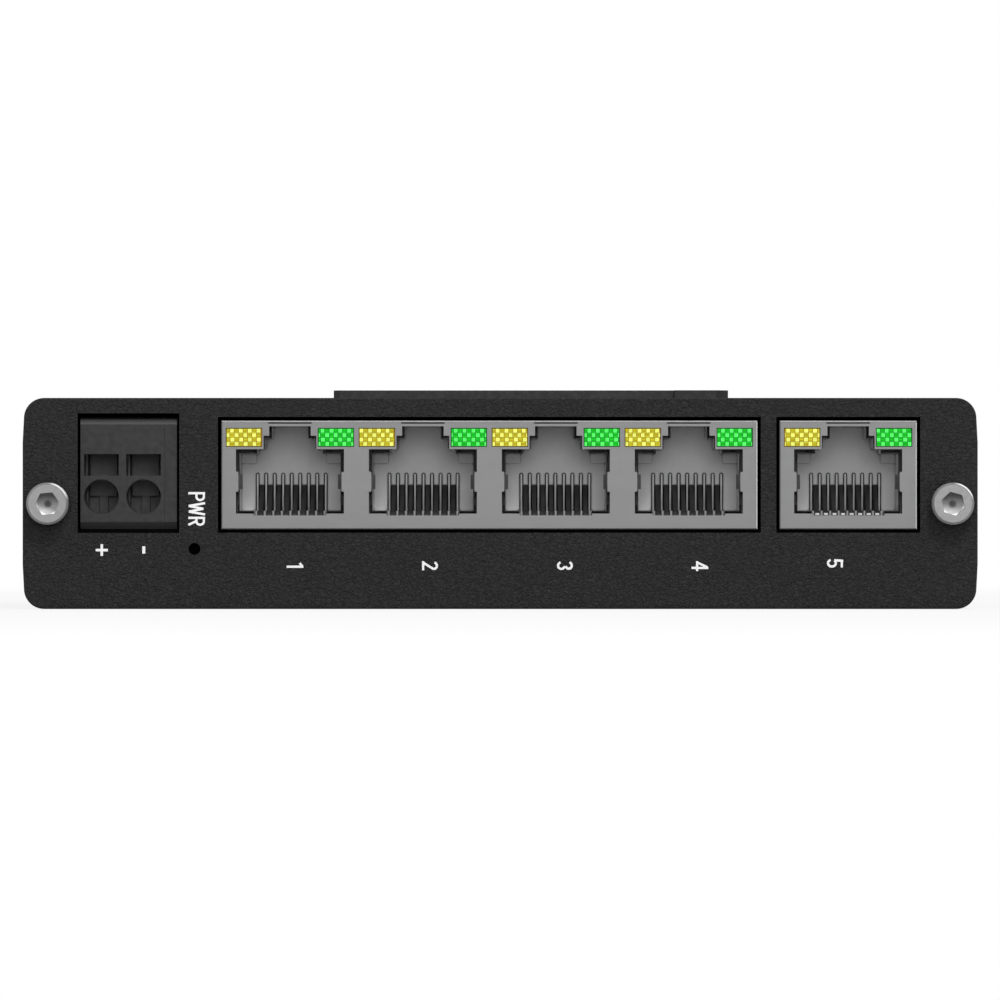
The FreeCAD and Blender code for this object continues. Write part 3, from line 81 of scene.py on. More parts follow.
class Look:
    """A node material whose colour, roughness and relief vary in object space.

    The sizes, radii and depths that its methods take are plain millimetres.
    """

    def __init__(self, name, colour, roughness, metallic=0.0, specular=0.5):
        self.material = bpy.data.materials.new(name)
        self.material.use_nodes = True
        self.nodes = self.material.node_tree.nodes
        self.links = self.material.node_tree.links
        self.shader = self.nodes["Principled BSDF"]
        self.colour = colour
        self.set(self.shader, "Base Color", (*colour, 1))
        self.set(self.shader, "Roughness", roughness)
        self.set(self.shader, "Metallic", metallic)
        self.set(self.shader, "Specular IOR Level", specular)
        coordinates = self.nodes.new("ShaderNodeTexCoord")
        self.place = coordinates.outputs["Object"]
        self.facing = coordinates.outputs["Normal"]
        self.normal = None

    def set(self, node, socket, value):
        """A fixed value on one of a node's inputs."""
        node.inputs[socket].default_value = value

    def noise(self, size, detail, stretch=(1, 1, 1), distortion=0.0):
        """Noise whose features are about size across, and longer where stretched."""
        mapping = self.nodes.new("ShaderNodeMapping")
        self.set(mapping, "Scale", [1 / (size * MM * way) for way in stretch])
        texture = self.nodes.new("ShaderNodeTexNoise")
        self.set(texture, "Scale", 1.0)
        self.set(texture, "Detail", detail)
        self.set(texture, "Distortion", distortion)
        self.links.new(self.place, mapping.inputs["Vector"])
        self.links.new(mapping.outputs["Vector"], texture.inputs["Vector"])
        return texture.outputs["Fac"]

    def span(self, value, low, high, to_low, to_high):
        """A value that runs from to_low to to_high while the input runs from low to high."""
        ramp = self.nodes.new("ShaderNodeMapRange")
        ramp.interpolation_type = "SMOOTHSTEP"
        self.links.new(value, ramp.inputs["Value"])
        self.set(ramp, "From Min", low)
        self.set(ramp, "From Max", high)
        self.set(ramp, "To Min", to_low)
        self.set(ramp, "To Max", to_high)
        return ramp.outputs["Result"]

    def above(self, value, low, high):
        """0 up to low, rising to 1 at high."""
        return self.span(value, low, high, 0.0, 1.0)

    def below(self, value, low, high):
        """1 up to low, falling to 0 at high."""
        return self.span(value, low, high, 1.0, 0.0)

    def along(self, axis):
        """The place along one axis of the object."""
        return self.split(self.place, axis)

    def toward(self, axis):
        """How far the surface faces along one axis, from -1 to 1."""
        return self.split(self.facing, axis)

    def split(self, vector, axis):
        """One part of a vector."""
        node = self.nodes.new("ShaderNodeSeparateXYZ")
        self.links.new(vector, node.inputs["Vector"])
        return node.outputs[axis]

    def math(self, operation, first, second=0.0):
        """A math node; its second input is a number or another node's output."""
        node = self.nodes.new("ShaderNodeMath")
        node.operation = operation
        self.links.new(first, node.inputs[0])
        if isinstance(second, float):
            node.inputs[1].default_value = second
        else:
            self.links.new(second, node.inputs[1])
        return node.outputs["Value"]

    def product(self, *factors):
        """The factors multiplied with each other."""
        total = factors[0]
        for factor in factors[1:]:
            total = self.math("MULTIPLY", total, factor)
        return total

    def bump(self, height, depth, strength=1.0):
        """Relief of the given depth, on top of any before it."""
        node = self.nodes.new("ShaderNodeBump")
        self.set(node, "Distance", depth * MM)
        self.set(node, "Strength", strength)
        self.links.new(height, node.inputs["Height"])
        if self.normal:
            self.links.new(self.normal, node.inputs["Normal"])
        self.normal = node.outputs["Normal"]
        self.links.new(self.normal, self.shader.inputs["Normal"])
        return self

    def soft_edges(self, radius):
        """Edges that catch the light as if broken by a small radius."""
        node = self.nodes.new("ShaderNodeBevel")
        node.samples = 6
        self.set(node, "Radius", radius * MM)
        self.normal = node.outputs["Normal"]
        self.links.new(self.normal, self.shader.inputs["Normal"])
        return self

    def tint(self, factor, colour):
        """Blend what the base colour is so far towards another one."""
        mix = self.nodes.new("ShaderNodeMix")
        mix.data_type = "RGBA"
        base = self.shader.inputs["Base Color"]
        if base.is_linked:
            self.links.new(base.links[0].from_socket, mix.inputs["A"])
        else:
            mix.inputs["A"].default_value = (*self.colour, 1)
        mix.inputs["B"].default_value = (*colour, 1)
        self.links.new(factor, mix.inputs["Factor"])
        self.links.new(mix.outputs["Result"], base)
        return self

    def patches(self, pattern, amount, colour, low=0.35, high=0.7):
        """Another colour, up to the amount, where the pattern is high."""
        return self.tint(self.span(pattern, low, high, 0.0, amount), colour)

    def occlusion(self, reach, shade, amount=1.0):
        """Painted shade: a deeper colour where walls within reach shut the light out."""
        node = self.nodes.new("ShaderNodeAmbientOcclusion")
        node.samples = 8
        self.set(node, "Distance", reach * MM)
        shut, free = 0.3, 0.85
        return self.tint(self.span(node.outputs["AO"], shut, free, amount, 0.0), shade)

    def sheen_variation(self, pattern, low, high):
        """Roughness between low and high."""
        roughness = self.span(pattern, NOISE_LOW, NOISE_HIGH, low, high)
        self.links.new(roughness, self.shader.inputs["Roughness"])
        return self


def coated_panel():
    """Black powder coat with a fine wrinkle, and painted shade in the walls of its windows and
    holes and round the screw heads.
    """
    look = Look("coated_panel", (0.009, 0.009, 0.0092), roughness=0.6, specular=0.25)
    wrinkle = look.noise(0.42, 1.5, stretch=(1.1, 1, 0.85), distortion=1.2)
    pores = look.noise(0.14, 2.0)
    look.patches(wrinkle, 0.6, (0.021, 0.021, 0.0214))
    look.sheen_variation(wrinkle, 0.5, 0.7)
    # Painted shade in the window and hole walls and round the screw heads
    look.occlusion(reach=1.5, shade=grey(0.001))
    return look.bump(wrinkle, depth=0.4).bump(pores, depth=0.02, strength=0.5)


def anodised_case():
    """Black anodised extrusion with faint die lines along it."""
    look = Look("anodised_case", (0.02, 0.02, 0.021), roughness=0.42, metallic=0.35, specular=0.35)
    lines = look.noise(0.35, 2.0, stretch=(1, 300, 1))
    pits = look.noise(0.12, 2.0)
    look.patches(look.noise(14, 2.0), 0.35, (0.03, 0.03, 0.031))
    look.sheen_variation(lines, 0.34, 0.5)
    return look.bump(lines, depth=0.006, strength=0.5).bump(pits, depth=0.004, strength=0.5)


def screw_steel():
    """Zinc-plated steel, dull on its faces, with a painted highlight on the upper right of each
    head's rim and painted light and shade in the sockets.
    """
    look = Look("screw_steel", grey(0.225), roughness=0.42, metallic=0.4, specular=0.4)
    look.patches(look.noise(0.9, 3.0), 0.4, (0.21, 0.21, 0.212))
    look.sheen_variation(look.noise(0.5, 2.0), 0.36, 0.46)

    low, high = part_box("case_screws")
    radius = (high.z - low.z) / 2
    across = look.math("SUBTRACT", look.math("ABSOLUTE", look.along("X")), high.x - radius)
    rise = look.math("SUBTRACT", look.along("Z"), (low.z + high.z) / 2)
    squares = look.math("ADD", look.product(across, across), look.product(rise, rise))
    reach = look.math("SQRT", squares)
    shade_screw_socket(look, rise, reach, look.math("SUBTRACT", look.along("Y"), low.y))

    highlight_reach = between(-0.2, -0.12, radius)
    off_front = -0.85, -0.75
    rightward = 0.0, 0.3
    upward = 0.1, 0.4
    # Painted highlight: the rim's upper right, which faces the light, is tinted white
    rim = look.product(look.above(reach, *highlight_reach),
                       look.above(look.toward("Y"), *off_front),
                       look.above(look.toward("X"), *rightward),
                       look.above(look.toward("Z"), *upward))
    look.tint(rim, grey(1.0))
    return look.soft_edges(0.05).bump(look.noise(0.12, 2.0), depth=0.004, strength=0.4)


def shade_screw_socket(look, rise, reach, depth):
    """Painted shade on the upper side and in the centre, and painted light on the lower side,
    inside the screws' sockets.
    """
    opening = between(0.2, 0.5)
    edge = between(1.5, 1.7)
    upper_side = between(0.2, 1.1)
    lower_side = between(-1.0, 0.8)
    centre = between(0.1, 0.65)
    inside = look.product(look.above(depth, *opening), look.below(reach, *edge))
    # Painted shade on the upper side and deep in the centre, painted light on the lower side
    look.tint(look.product(inside, look.above(rise, *upper_side)), grey(0.1))
    look.tint(look.product(inside, look.below(rise, *lower_side)), grey(0.9))
    look.tint(look.product(inside, look.below(reach, *centre)), grey(0.02))


def shield_metal():
    """Dull tin-plated sheet, with painted shade in its corners and behind its face, and painted
    highlights on the folds at its top and right.
    """
    look = Look("shield_metal", (0.212, 0.212, 0.214), roughness=0.45, metallic=0.12, specular=0.4)
    look.patches(look.noise(3.5, 3.0), 0.4, (0.204, 0.204, 0.206))
    look.sheen_variation(look.noise(0.6, 2.0, stretch=(6, 1, 1)), 0.43, 0.48)
    look.occlusion(reach=0.4, shade=grey(0.04), amount=0.6)
    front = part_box("single_port_shield")[0].y
    behind_face = between(0.25, 0.5, front)
    turned = 0.4, 0.6
    facing_front = -0.6, -0.4
    # Painted shade on everything behind the face: the spring tabs and walls inside the mouth
    look.tint(look.above(look.along("Y"), *behind_face), grey(0.11))
    outward = look.math("MAXIMUM", look.toward("X"), look.toward("Z"))
    # Painted highlight on the folds that face up and right, towards the light
    fold = look.product(look.above(outward, *turned), look.below(look.toward("Y"), *facing_front))
    look.tint(fold, grey(1.0))
    return look.bump(look.noise(0.18, 2.0, stretch=(4, 1, 1)), depth=0.002, strength=0.3)


def insulator_plastic(number):
    """Grey glass-filled moulding of one port, with painted light towards the bottom of its cavity
    and painted shade in its corners.
    """
    low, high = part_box(f"port_{number}_insulator")
    look = Look(f"insulator_plastic_{number}", (0.5, 0.5, 0.502), roughness=0.55, specular=0.3)
    look.patches(look.noise(1.4, 4.0), 0.5, (0.47, 0.47, 0.472))
    painted_light_top = high.z - 1.5 * MM
    # Painted light: paler towards the bottom of the cavity, where more light reaches
    look.tint(look.span(look.along("Z"), low.z, painted_light_top, 0.85, 0.0), grey(0.98))
    look.sheen_variation(look.noise(0.6, 2.0), 0.48, 0.64)
    look.occlusion(reach=0.3, shade=grey(0.02), amount=0.8)
    shade_mouth(look, low.y)
    shade_contact_row(look, (low.x + high.x) / 2, *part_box(f"port_{number}_contacts"))
    return look.bump(look.noise(0.1, 2.0), depth=0.004, strength=0.5)


def shade_mouth(look, front):
    """Painted shade on the bevels, flanks and front edge round an insulator's mouth."""
    forward = look.toward("Y")
    depth = look.along("Y")
    from_front_to_bevel = -0.95, -0.8
    from_bevel_to_flank = -0.6, -0.5
    flank_depth = between(0.5, 1.0, front)
    edge_depth = between(0.02, 0.06, front)
    bevel = look.product(look.above(forward, *from_front_to_bevel),
                         look.below(forward, *from_bevel_to_flank))
    flank = look.product(look.above(forward, *from_bevel_to_flank),
                         look.below(depth, *flank_depth))
    # Painted shade on the bevels, the flanks and the front edge
    look.tint(bevel, grey(0.03))
    look.tint(flank, grey(0.015))
    look.tint(look.below(depth, *edge_depth), grey(0.004))


def shade_contact_row(look, middle, wires_low, wires_high):
    """Painted shade in strips under the contacts, parted by pale lines, and on the ends of the low
    walls.
    """
    offset = look.math("SUBTRACT", look.along("X"), middle)
    from_line = look.math("PINGPONG", offset, CONTACT_PITCH / 2)
    line_edge = between(0.07, 0.11)
    tips = between(-0.14, -0.08, wires_high.z)
    row_end = (wires_high.x - wires_low.x) / 2 + 0.45 * MM
    strips = look.product(look.above(from_line, *line_edge),
                          look.below(look.along("Z"), *tips),
                          look.below(look.math("ABSOLUTE", offset), row_end - 0.05 * MM, row_end))
    # Painted shade between the ribs, below the contact tips
    look.tint(strips, grey(0.012))

    wall_depth = between(0, 1.2, wires_low.y)
    wall_top = between(2.2, 2.3, wires_low.z)
    ends = look.product(look.span(look.along("Y"), *wall_depth, 0.75, 0.0),
                        look.below(look.along("Z"), *wall_top))
    # Painted shade on the front ends of the low walls
    look.tint(ends, grey(0.06))


def contact_wire(name, shine):
    """Dark plated wire with a painted highlight on its front bend; the bends of all ports are
    level.
    """
    look = Look(name, (0.03, 0.03, 0.031), roughness=0.5, metallic=0.3, specular=0.3)
    look.patches(look.noise(0.7, 2.0), 0.5, (0.045, 0.045, 0.046), low=NOISE_LOW)
    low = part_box("port_5_contacts")[0]
    bend = low.z + 1.17 * MM
    bend_foot = between(-0.14, -0.04, bend)
    bend_top = between(0.08, 0.16, bend)
    bend_depth = between(0.5, 0.9, low.y)
    level = look.along("Z")
    # Painted highlight on the front bend, as strong as shine
    bend_highlight = look.product(look.above(level, *bend_foot), look.below(level, *bend_top),
                         look.span(look.along("Y"), *bend_depth, shine, 0.0))
    look.tint(bend_highlight, grey(1.0))
    return look.bump(look.noise(0.2, 2.0, stretch=(1, 6, 1)), depth=0.003, strength=0.5)


def lamp_lens(name):
    """Clear plastic with a faint painted glow; the mesh holds the tint of each facet."""
    look = Look(name, grey(1.0), roughness=0.45, specular=0.12)
    tint = look.nodes.new("ShaderNodeAttribute")
    tint.attribute_name = "tint"
    look.links.new(tint.outputs["Color"], look.shader.inputs["Base Color"])
    # Painted glow in the lens's own tint, not a lit lamp
    look.links.new(tint.outputs["Color"], look.shader.inputs["Emission Color"])
    look.set(look.shader, "Emission Strength", 0.14)
    return look.bump(look.noise(0.25, 2.0), depth=0.004, strength=0.4)


def moulded(name, colour, roughness, variation, specular=0.3, shade=0.001):
    """Plastic with a spark-eroded grain and painted shade in its corners."""
    look = Look(name, colour, roughness, specular=specular)
    lighter = tuple(min(1, part * (1 + variation)) for part in colour)
    look.patches(look.noise(2.2, 4.0), 1.0, lighter)
    look.sheen_variation(look.noise(0.8, 2.0), roughness - 0.07, roughness + 0.07)
    # Painted shade in corners and hollows
    look.occlusion(reach=0.8, shade=grey(shade))
    return look.soft_edges(0.1).bump(look.noise(0.16, 2.0), depth=0.008, strength=0.6)


def terminal_plastic():
    """Black moulding with painted light on its bevels and deep in its openings, and painted shade
    along its top and in its corners.
    """
    look = moulded("terminal_plastic", (0.0165, 0.0165, 0.0167), 0.55, 0.06, shade=0.012)
    low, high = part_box("terminal_housing")
    openings = between(1.2, 2.5, low.y)
    painted_shade_band = between(-0.35, -0.15, high.z)
    facing_front = -0.5, -0.3
    tilted_up = 0.5, 0.6
    tilted_down = -0.6, -0.5
    upward = look.toward("Z")
    forward = look.below(look.toward("Y"), *facing_front)
    # Painted light deep in the openings
    look.tint(look.above(look.along("Y"), *openings), (0.13, 0.13, 0.131))
    # Painted light on the upper bevel, which faces the light
    look.tint(look.product(look.above(upward, *tilted_up), forward), (0.1, 0.1, 0.1005))
    # Painted shade along the top, under the panel's window edge
    look.tint(look.above(look.along("Z"), *painted_shade_band), grey(0.002))
    # Painted light on the lower bevel
    look.tint(look.product(look.below(upward, *tilted_down), forward), (0.04, 0.04, 0.0405))
    return look


def plated(name, colour, roughness, stretch=(1, 1, 1)):
    """Bare or plated metal, with a fine direction in it where stretched."""
    look = Look(name, colour, roughness, metallic=1.0)
    darker = tuple(part * 0.85 for part in colour)
    look.patches(look.noise(1.6, 3.0), 0.7, darker)
    look.sheen_variation(look.noise(0.4, 2.0, stretch), roughness - 0.06, roughness + 0.08)
    return look.bump(look.noise(0.15, 2.0, stretch), depth=0.003, strength=0.4)


def board():
    """Dark solder mask over a woven glass-fibre board, with painted shade in its corners."""
    look = Look("board", (0.001, 0.002, 0.0015), roughness=0.6, specular=0.02)
    warp = look.noise(0.5, 1.0, stretch=(8, 1, 1))
    weft = look.noise(0.5, 1.0, stretch=(1, 8, 1))
    look.patches(warp, 0.4, (0.002, 0.004, 0.003), low=0.4)
    # Painted shade in corners
    look.occlusion(reach=1.0, shade=grey(0.001))
    return look.bump(warp, depth=0.01, strength=0.4).bump(weft, depth=0.01, strength=0.4)


def white_print():
    """Screen-printed ink with a slightly uneven surface and cover."""
    look = Look("white_print", grey(0.93), roughness=0.55, specular=0.3)
    look.tint(look.span(look.noise(0.35, 3.0), 0.3, 0.6, 0.3, 0.0), grey(0.82))
    return look.bump(look.noise(0.42, 2.0, distortion=0.8), depth=0.01, strength=0.4)


LOOKS = {
    "coated_panel": coated_panel(),
    "anodised_case": anodised_case(),
    "screw_steel": screw_steel(),
    "shield_metal": shield_metal(),
    "contact_wire": contact_wire("contact_wire", shine=0.03),
    "lamp_yellow": lamp_lens("lamp_yellow"),
    "lamp_green": lamp_lens("lamp_green"),
    "terminal_plastic": terminal_plastic(),
    "bracket_plastic": moulded("bracket_plastic", (0.017, 0.017, 0.0172), 0.55, 0.15),
    "lamp_body": moulded("lamp_body", grey(0.002), 0.9, 0.1, specular=0.02),
    "part_yellow": moulded("part_yellow", (0.6, 0.45, 0.1), 0.45, 0.15),
    "chip_plastic": moulded("chip_plastic", grey(0.02), 0.5, 0.2),
    "potted_block": moulded("potted_block", grey(0.02), 0.4, 0.2),
    "ferrite": moulded("ferrite", grey(0.06), 0.6, 0.2),
    "spring_steel": plated("spring_steel", grey(0.5), 0.3, stretch=(1, 1, 6)),
    "contact_metal": plated("contact_metal", (0.7, 0.68, 0.62), 0.35),
    "capacitor_can": moulded("capacitor_can", grey(0.01), 0.6, 0.1, specular=0.05),
    "board": board(),
}
PRINT = white_print()

# Nodes whose own look takes the place of their slot's
OWN_LOOKS = {
    # Port 5's contacts take a full painted highlight on their bends, the others a faint one
    "port_5_contacts": contact_wire("contact_wire_highlit", shine=1.0),
    # The clamps and pins are paler than the housing: painted light deep in the terminal's openings,
    # with painted shade in their corners
    "terminal_clamps": moulded("spring_painted_light", (0.13, 0.13, 0.131), 0.6, 0.02, shade=0.1),
    "terminal_pins": moulded("pin_painted_light", (0.12, 0.12, 0.121), 0.6, 0.02, shade=0.1),
}
OWN_LOOKS |= {f"port_{number}_insulator": insulator_plastic(number) for number in PORTS}

for name, node in frame["nodes"].items():
    for holder in node.material_slots:
        slot_name = holder.material.name.split(".")[0]
        holder.material = (OWN_LOOKS.get(name) or LOOKS[slot_name]).material


# ---------------------------------------------------------------- new pieces

def mesh_of(builder, name):
    """The builder's closed solids as a mesh."""
    bmesh.ops.recalc_face_normals(builder, faces=builder.faces)
    mesh = bpy.data.meshes.new(name)
    builder.to_mesh(mesh)
    builder.free()
    return mesh


def piece(name, mesh, look):
    """A new visible piece that rides with the switch."""
    mesh.materials.append(look.material)
    item = bpy.data.objects.new(name, mesh)
    bpy.context.scene.collection.objects.link(item)
    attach(item, "root")
    return item


# ---------------------------------------------------------------- lamp lenses

# How far each lens stays inside the plain lamp's box, across and up
LENS_GAP = Vector((0.07, 0, 0.07)) * MM
FACET_ROWS = 4
FACET_PITCH = 0.52 * MM
FACET_MARGIN = 0.016 * MM
FACET_RELIEF = 0.05 * MM
FACET_BEVEL = 0.02 * MM
NARROWEST_CELL = 0.12 * MM
SLATS = 3

# Tints of the raised facets, of the slats between them and of the grooves round both
LENS_COLOURS = {
    "lamp_yellow": ((0.88, 0.96, 0.18), (0.64, 0.69, 0.02), (0.36, 0.18, 0.001)),
    "lamp_green": ((0.1, 1.0, 0.15), (0.0, 0.78, 0.003), (0.0, 0.2, 0.02)),
}


def block(builder, across, up, through, inset, flank, face):
    """A closed block over three ranges, with its front smaller by the inset, in two tints."""
    left, right = across
    bottom, top = up
    front, rear = through
    corners = []
    for y, shrink in ((rear, 0), (front, inset)):
        for x, z in ((left + shrink, bottom + shrink), (right - shrink, bottom + shrink),
                     (right - shrink, top - shrink), (left + shrink, top - shrink)):
            corners.append(builder.verts.new((x, y, z)))
    faces = [builder.faces.new(corners[4:]), builder.faces.new(corners[3::-1])]
    for edge in range(4):
        after = (edge + 1) % 4
        faces.append(builder.faces.new(
            (corners[edge], corners[after], corners[after + 4], corners[edge + 4])))
    layer = builder.loops.layers.float_color["tint"]
    for index, made in enumerate(faces):
        for loop in made.loops:
            loop[layer] = (*(face if index == 0 else flank), 1)


def cell(builder, draw, low, high, row, across, raised, colours):
    """One raised facet, or a stack of slats a little behind it."""
    left, right = across
    bright, deep, groove = colours
    height = (high.z - low.z) / FACET_ROWS
    slats = 1 if raised else SLATS
    for slat in range(slats):
        share = draw.uniform(0.85, 1.0) if raised else draw.uniform(0.7, 1.0)
        face = tuple(part * share for part in (bright if raised else deep))
        level = low.z + (row + slat / slats) * height
        sunk = FACET_RELIEF * (draw.uniform(0, 0.3) if raised else draw.uniform(0.5, 0.8))
        block(builder, (left + FACET_MARGIN, right - FACET_MARGIN),
              (level + FACET_MARGIN, level + height / slats - FACET_MARGIN),
              (low.y + sunk, low.y + 2 * FACET_RELIEF), FACET_BEVEL, groove, face)


def lens(number, slot, seed):
    """A port's signal lamp with a front of staggered facets, in place of the plain one."""
    node = f"port_{number}_{slot}"
    low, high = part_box(node)
    low, high = low + LENS_GAP, high - LENS_GAP
    colours = LENS_COLOURS[slot]
    groove = colours[-1]
    draw = random.Random(seed)
    builder = bmesh.new()
    builder.loops.layers.float_color.new("tint")
    block(builder, (low.x, high.x), (low.z, high.z), (low.y + FACET_RELIEF, high.y),
          0, groove, groove)
    slip = draw.uniform(0, FACET_PITCH)
    for row in range(FACET_ROWS):
        start = low.x - slip - FACET_PITCH * draw.uniform(0, 0.12)
        raised = row % 2 == 0
        while start < high.x:
            left = max(start, low.x)
            right = min(start + FACET_PITCH * draw.uniform(0.94, 1.06), high.x)
            if right - left > NARROWEST_CELL:
                cell(builder, draw, low, high, row, (left, right), raised, colours)
            start = right
            raised = not raised
    item = piece(node + "_lens", mesh_of(builder, node + "_lens"), LOOKS[slot])
    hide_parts(node)


for number in PORTS:
    lens(number, "lamp_yellow", seed=number)
    lens(number, "lamp_green", seed=10 + number)


# ---------------------------------------------------------------- print
# Strokes and their places on the panel are plain millimetres until to_panel turns them into metres.

INK = 0.03 * MM
INK_SINK = 0.01 * MM
CELL_HEIGHT = 2.1
PRINTED_HEIGHT = 1.98
STROKE = 0.27
# Least cosine between a joint's mitre and the square across its stroke, so that mitres stay short
SHARPEST_MITRE = 0.4

# Turned marks stand on a base line at x and run down from a start at z
FIRST_DIGIT_BASE = -25.28
DIGIT_PITCH = 15.98
DIGIT_START = 5.67
DIGIT_5_LIFT = 0.26
LETTER_BASE = -36.92
LETTER_START = 13.87


def arc(centre, reach, start, end, steps=12):
    """Points of an elliptic arc, angles in degrees."""
    points = []
    for step in range(steps + 1):
        angle = math.radians(start + (end - start) * step / steps)
        points.append((centre[0] + reach[0] * math.cos(angle),
                       centre[1] + reach[1] * math.sin(angle)))
    return points


def ribbon(points, width):
    """Both sides of a stroke along the points, with mitred joints and square ends."""
    left = []
    right = []
    path = [Vector(point) for point in points]
    for index, point in enumerate(path):
        before = (point - path[index - 1]).normalized() if index else None
        after = (path[index + 1] - point).normalized() if index + 1 < len(path) else None
        way = ((before or after) + (after or before)).normalized()
        side = Vector((-way.y, way.x))
        square = side.dot(Vector((-(after or before).y, (after or before).x)))
        reach = side * (width / 2 / max(square, SHARPEST_MITRE))
        left.append(point + reach)
        right.append(point - reach)
    return left, right


def stroke(points, width, to_panel):
    """A thin closed solid of one stroke, on the panel."""
    left, right = ribbon(points, width)
    outline = left + right[::-1]
    builder = bmesh.new()
    lower = [builder.verts.new(to_panel(u, v, 0)) for u, v in outline]
    upper = [builder.verts.new(to_panel(u, v, INK)) for u, v in outline]
    total = len(outline)
    for step in range(len(left) - 1):
        other = total - 1 - step
        builder.faces.new((lower[step], lower[step + 1], lower[other - 1], lower[other]))
        builder.faces.new((upper[step], upper[other], upper[other - 1], upper[step + 1]))
    for step in range(total):
        after = (step + 1) % total
        builder.faces.new((lower[step], upper[step], upper[after], lower[after]))
    item = bpy.data.objects.new("stroke", mesh_of(builder, "stroke"))
    bpy.context.scene.collection.objects.link(item)
    return item


def joined(items):
    """One mesh from overlapping closed strokes, whose own objects go."""
    first = items[0]
    for other in items[1:]:
        union = first.modifiers.new("union", "BOOLEAN")
        union.operation = "UNION"
        union.solver = "EXACT"
        union.object = other
    depsgraph = bpy.context.evaluated_depsgraph_get()
    mesh = bpy.data.meshes.new_from_object(first.evaluated_get(depsgraph))
    for item in items:
        bpy.data.objects.remove(item)
    return mesh


def glyph(name, strokes, x, z, width=STROKE, turned=True):
    """A printed mark; turned marks read downwards with their tops to the right."""
    def to_panel(u, v, thickness):
        across, up = (v * PRINTED_HEIGHT / CELL_HEIGHT, -u) if turned else (u, v)
        return (x + across) * MM, FACE + INK_SINK - thickness, (z + up) * MM
    items = [stroke(points, width, to_panel) for points in strokes]
    piece(name, joined(items), PRINT)


def digits():
    """Strokes of the five digits on cells 1.1 wide."""
    return {
        1: [[(0.66, 0), (0.66, CELL_HEIGHT)], [(0.24, 1.62), (0.6, 1.97)]],
        2: [arc((0.54, 1.55), (0.37, 0.37), 170, -28) + [(0.2, 0.24)],
            [(0.0, 0.19), (1.09, 0.19)]],
        3: [arc((0.52, 1.53), (0.38, 0.38), 165, -80),
            arc((0.53, 0.6), (0.39, 0.42), 80, -165)],
        4: [[(0.8, 0), (0.8, CELL_HEIGHT)], [(0.0, 0.7), (1.18, 0.7)],
            [(0.17, 0.74), (0.72, 1.98)]],
        5: [[(1.0, 1.92), (0.1, 1.92)], [(0.22, CELL_HEIGHT), (0.16, 0.98)],
            arc((0.5, 0.68), (0.4, 0.5), 142, -160)],
    }


def letters():
    """How far down the word each letter of PWR starts, and its strokes."""
    half = 0.155
    foot = 0.05
    peak = CELL_HEIGHT * 0.9
    upright = [(half, 0), (half, CELL_HEIGHT)]
    bowl_top = CELL_HEIGHT - half
    bowl_foot = 1.015
    bowl = [(half, bowl_top), (0.55, bowl_top),
            *arc((0.58, 1.48), (0.38, 0.465), 85, -85),
            (0.55, bowl_foot), (half, bowl_foot)]
    leg = [(0.55, 1.0), (0.98, 0.0)]
    zigzag = [(0.13, CELL_HEIGHT), (0.47, foot), (0.8, peak), (1.13, foot), (1.47, CELL_HEIGHT)]
    return {
        "P": (0.0, [upright, bowl]),
        "W": (1.2, [list(ends) for ends in zip(zigzag, zigzag[1:])]),
        "R": (2.92, [upright, bowl, leg]),
    }


for digit, strokes in digits().items():
    lift = DIGIT_5_LIFT if digit == 5 else 0.0
    glyph(f"print_digit_{digit}", strokes,
          x=FIRST_DIGIT_BASE + DIGIT_PITCH * (digit - 1), z=DIGIT_START + lift)
for letter, (start, strokes) in letters().items():
    glyph(f"print_letter_{letter}", strokes, x=LETTER_BASE, z=LETTER_START - start)
glyph("print_plus", [[(-0.72, 0), (0.72, 0)], [(0, -0.69), (0, 0.69)]],
      x=-47.17, z=6.98, width=0.3, turned=False)
glyph("print_minus", [[(0, -0.43), (0, 0.43)]], x=-42.2, z=7.0, width=0.36, turned=False)


# ---------------------------------------------------------------- stage, light and camera

FLOOR_SIZE = 40
FLOOR_DROP = 0.02 * MM


def floor():
    """Pale floor that takes the object's soft shadow and turns white to the camera far away."""
    bpy.ops.mesh.primitive_plane_add(size=FLOOR_SIZE, location=(0, 0, -FLOOR_DROP))
    plane = bpy.context.object
    plane.name = "floor"
    look = Look("floor", grey(0.86), roughness=0.9, specular=0.0)
    look.patches(look.noise(60, 2.0), 1.0, grey(0.88), low=NOISE_LOW)
    glow = look.nodes.new("ShaderNodeEmission")
    blend = look.nodes.new("ShaderNodeMixShader")
    rays = look.nodes.new("ShaderNodeLightPath")
    away = look.nodes.new("ShaderNodeVectorMath")
    away.operation = "LENGTH"
    look.links.new(look.place, away.inputs[0])
    near = panel_high.x * 2
    whiteness = look.span(away.outputs["Value"], near, 3 * near, 0.86, 1.0)
    look.links.new(look.product(rays.outputs["Is Camera Ray"], whiteness), blend.inputs["Fac"])
    look.links.new(look.shader.outputs["BSDF"], blend.inputs[1])
    look.links.new(glow.outputs["Emission"], blend.inputs[2])
    look.links.new(blend.outputs["Shader"], look.nodes["Material Output"].inputs["Surface"])
    plane.data.materials.append(look.material)


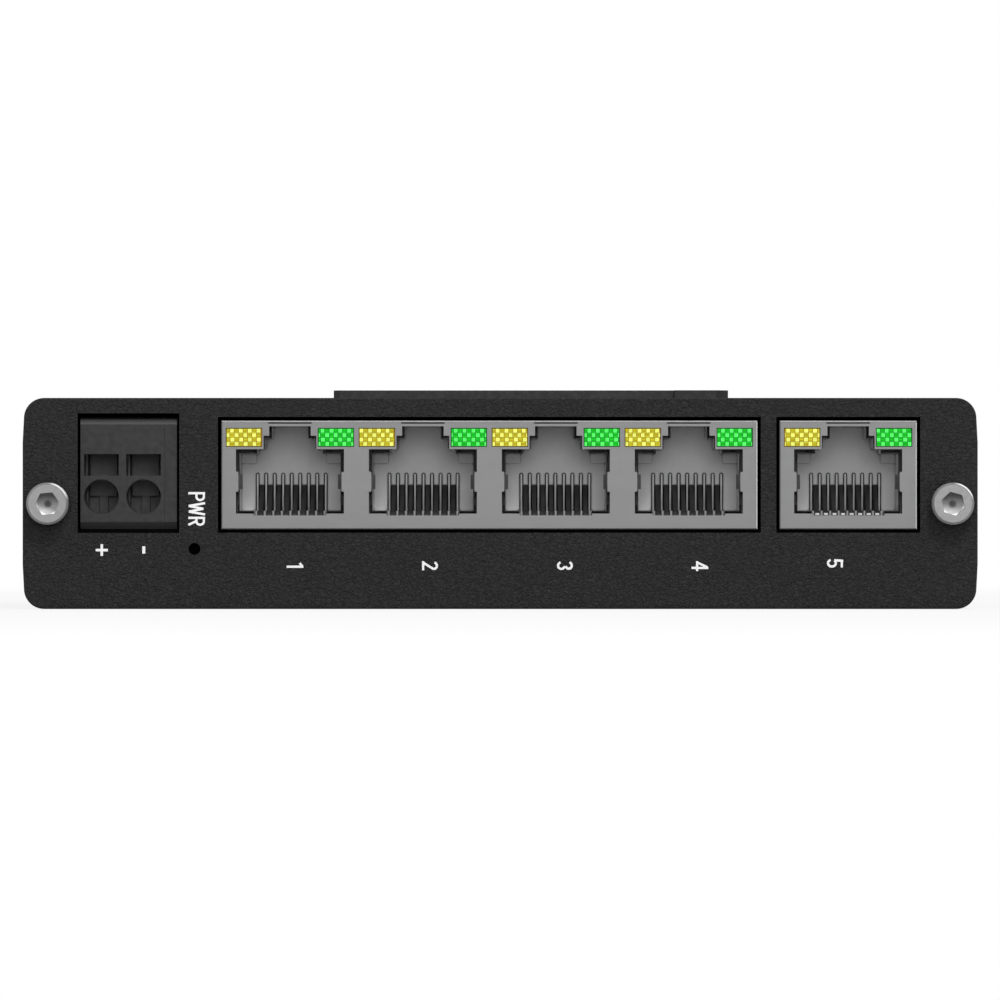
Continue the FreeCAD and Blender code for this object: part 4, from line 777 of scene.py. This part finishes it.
def world():
    """White to the camera, in reflections and through glass; a plain soft light otherwise."""
    sky = bpy.data.worlds.new("studio")
    bpy.context.scene.world = sky
    sky.use_nodes = True
    nodes = sky.node_tree.nodes
    links = sky.node_tree.links
    soft = nodes["Background"]
    seen = nodes.new("ShaderNodeBackground")
    for background, strength in ((soft, 0.35), (seen, 1.0)):
        background.inputs["Color"].default_value = (1, 1, 1, 1)
        background.inputs["Strength"].default_value = strength
    blend = nodes.new("ShaderNodeMixShader")
    rays = nodes.new("ShaderNodeLightPath")
    total = rays.outputs["Is Camera Ray"]
    for kind in ("Is Glossy Ray", "Is Transmission Ray"):
        add = nodes.new("ShaderNodeMath")
        add.operation = "MAXIMUM"
        links.new(total, add.inputs[0])
        links.new(rays.outputs[kind], add.inputs[1])
        total = add.outputs["Value"]
    links.new(total, blend.inputs["Fac"])
    links.new(soft.outputs["Background"], blend.inputs[1])
    links.new(seen.outputs["Background"], blend.inputs[2])
    links.new(blend.outputs["Shader"], nodes["World Output"].inputs["Surface"])


def area_light(name, where, size, power):
    """A soft round lamp aimed at the middle of the switch."""
    data = bpy.data.lights.new(name, "AREA")
    data.shape = "DISK"
    data.size = size
    data.energy = power
    lamp = bpy.data.objects.new(name, data)
    lamp.location = where
    aim = Vector((0, 0, MIDDLE)) - Vector(where)
    lamp.rotation_euler = aim.to_track_quat("-Z", "Y").to_euler()
    bpy.context.scene.collection.objects.link(lamp)


def camera(aside, level, distance, focal_length):
    """A level view straight at the panel, with the focal length in millimetres."""
    data = bpy.data.cameras.new("camera")
    data.sensor_width = 36
    data.lens = focal_length
    data.clip_end = 100
    eye = bpy.data.objects.new("camera", data)
    eye.location = (aside, FACE - distance, level)
    eye.rotation_euler = (math.pi / 2, 0, 0)
    bpy.context.scene.collection.objects.link(eye)
    bpy.context.scene.camera = eye


floor()
world()
area_light("key", where=(0.25, -1.0, 0.85), size=0.4, power=7.0)
area_light("front", where=(0.05, -1.4, 0.25), size=0.5, power=4.2)
area_light("rear", where=(0.1, 0.9, 0.7), size=0.7, power=3.0)
camera(aside=-0.02 * MM, level=12.91 * MM, distance=1.25, focal_length=380.04)
bpy.context.scene.view_settings.view_transform = "Standard"
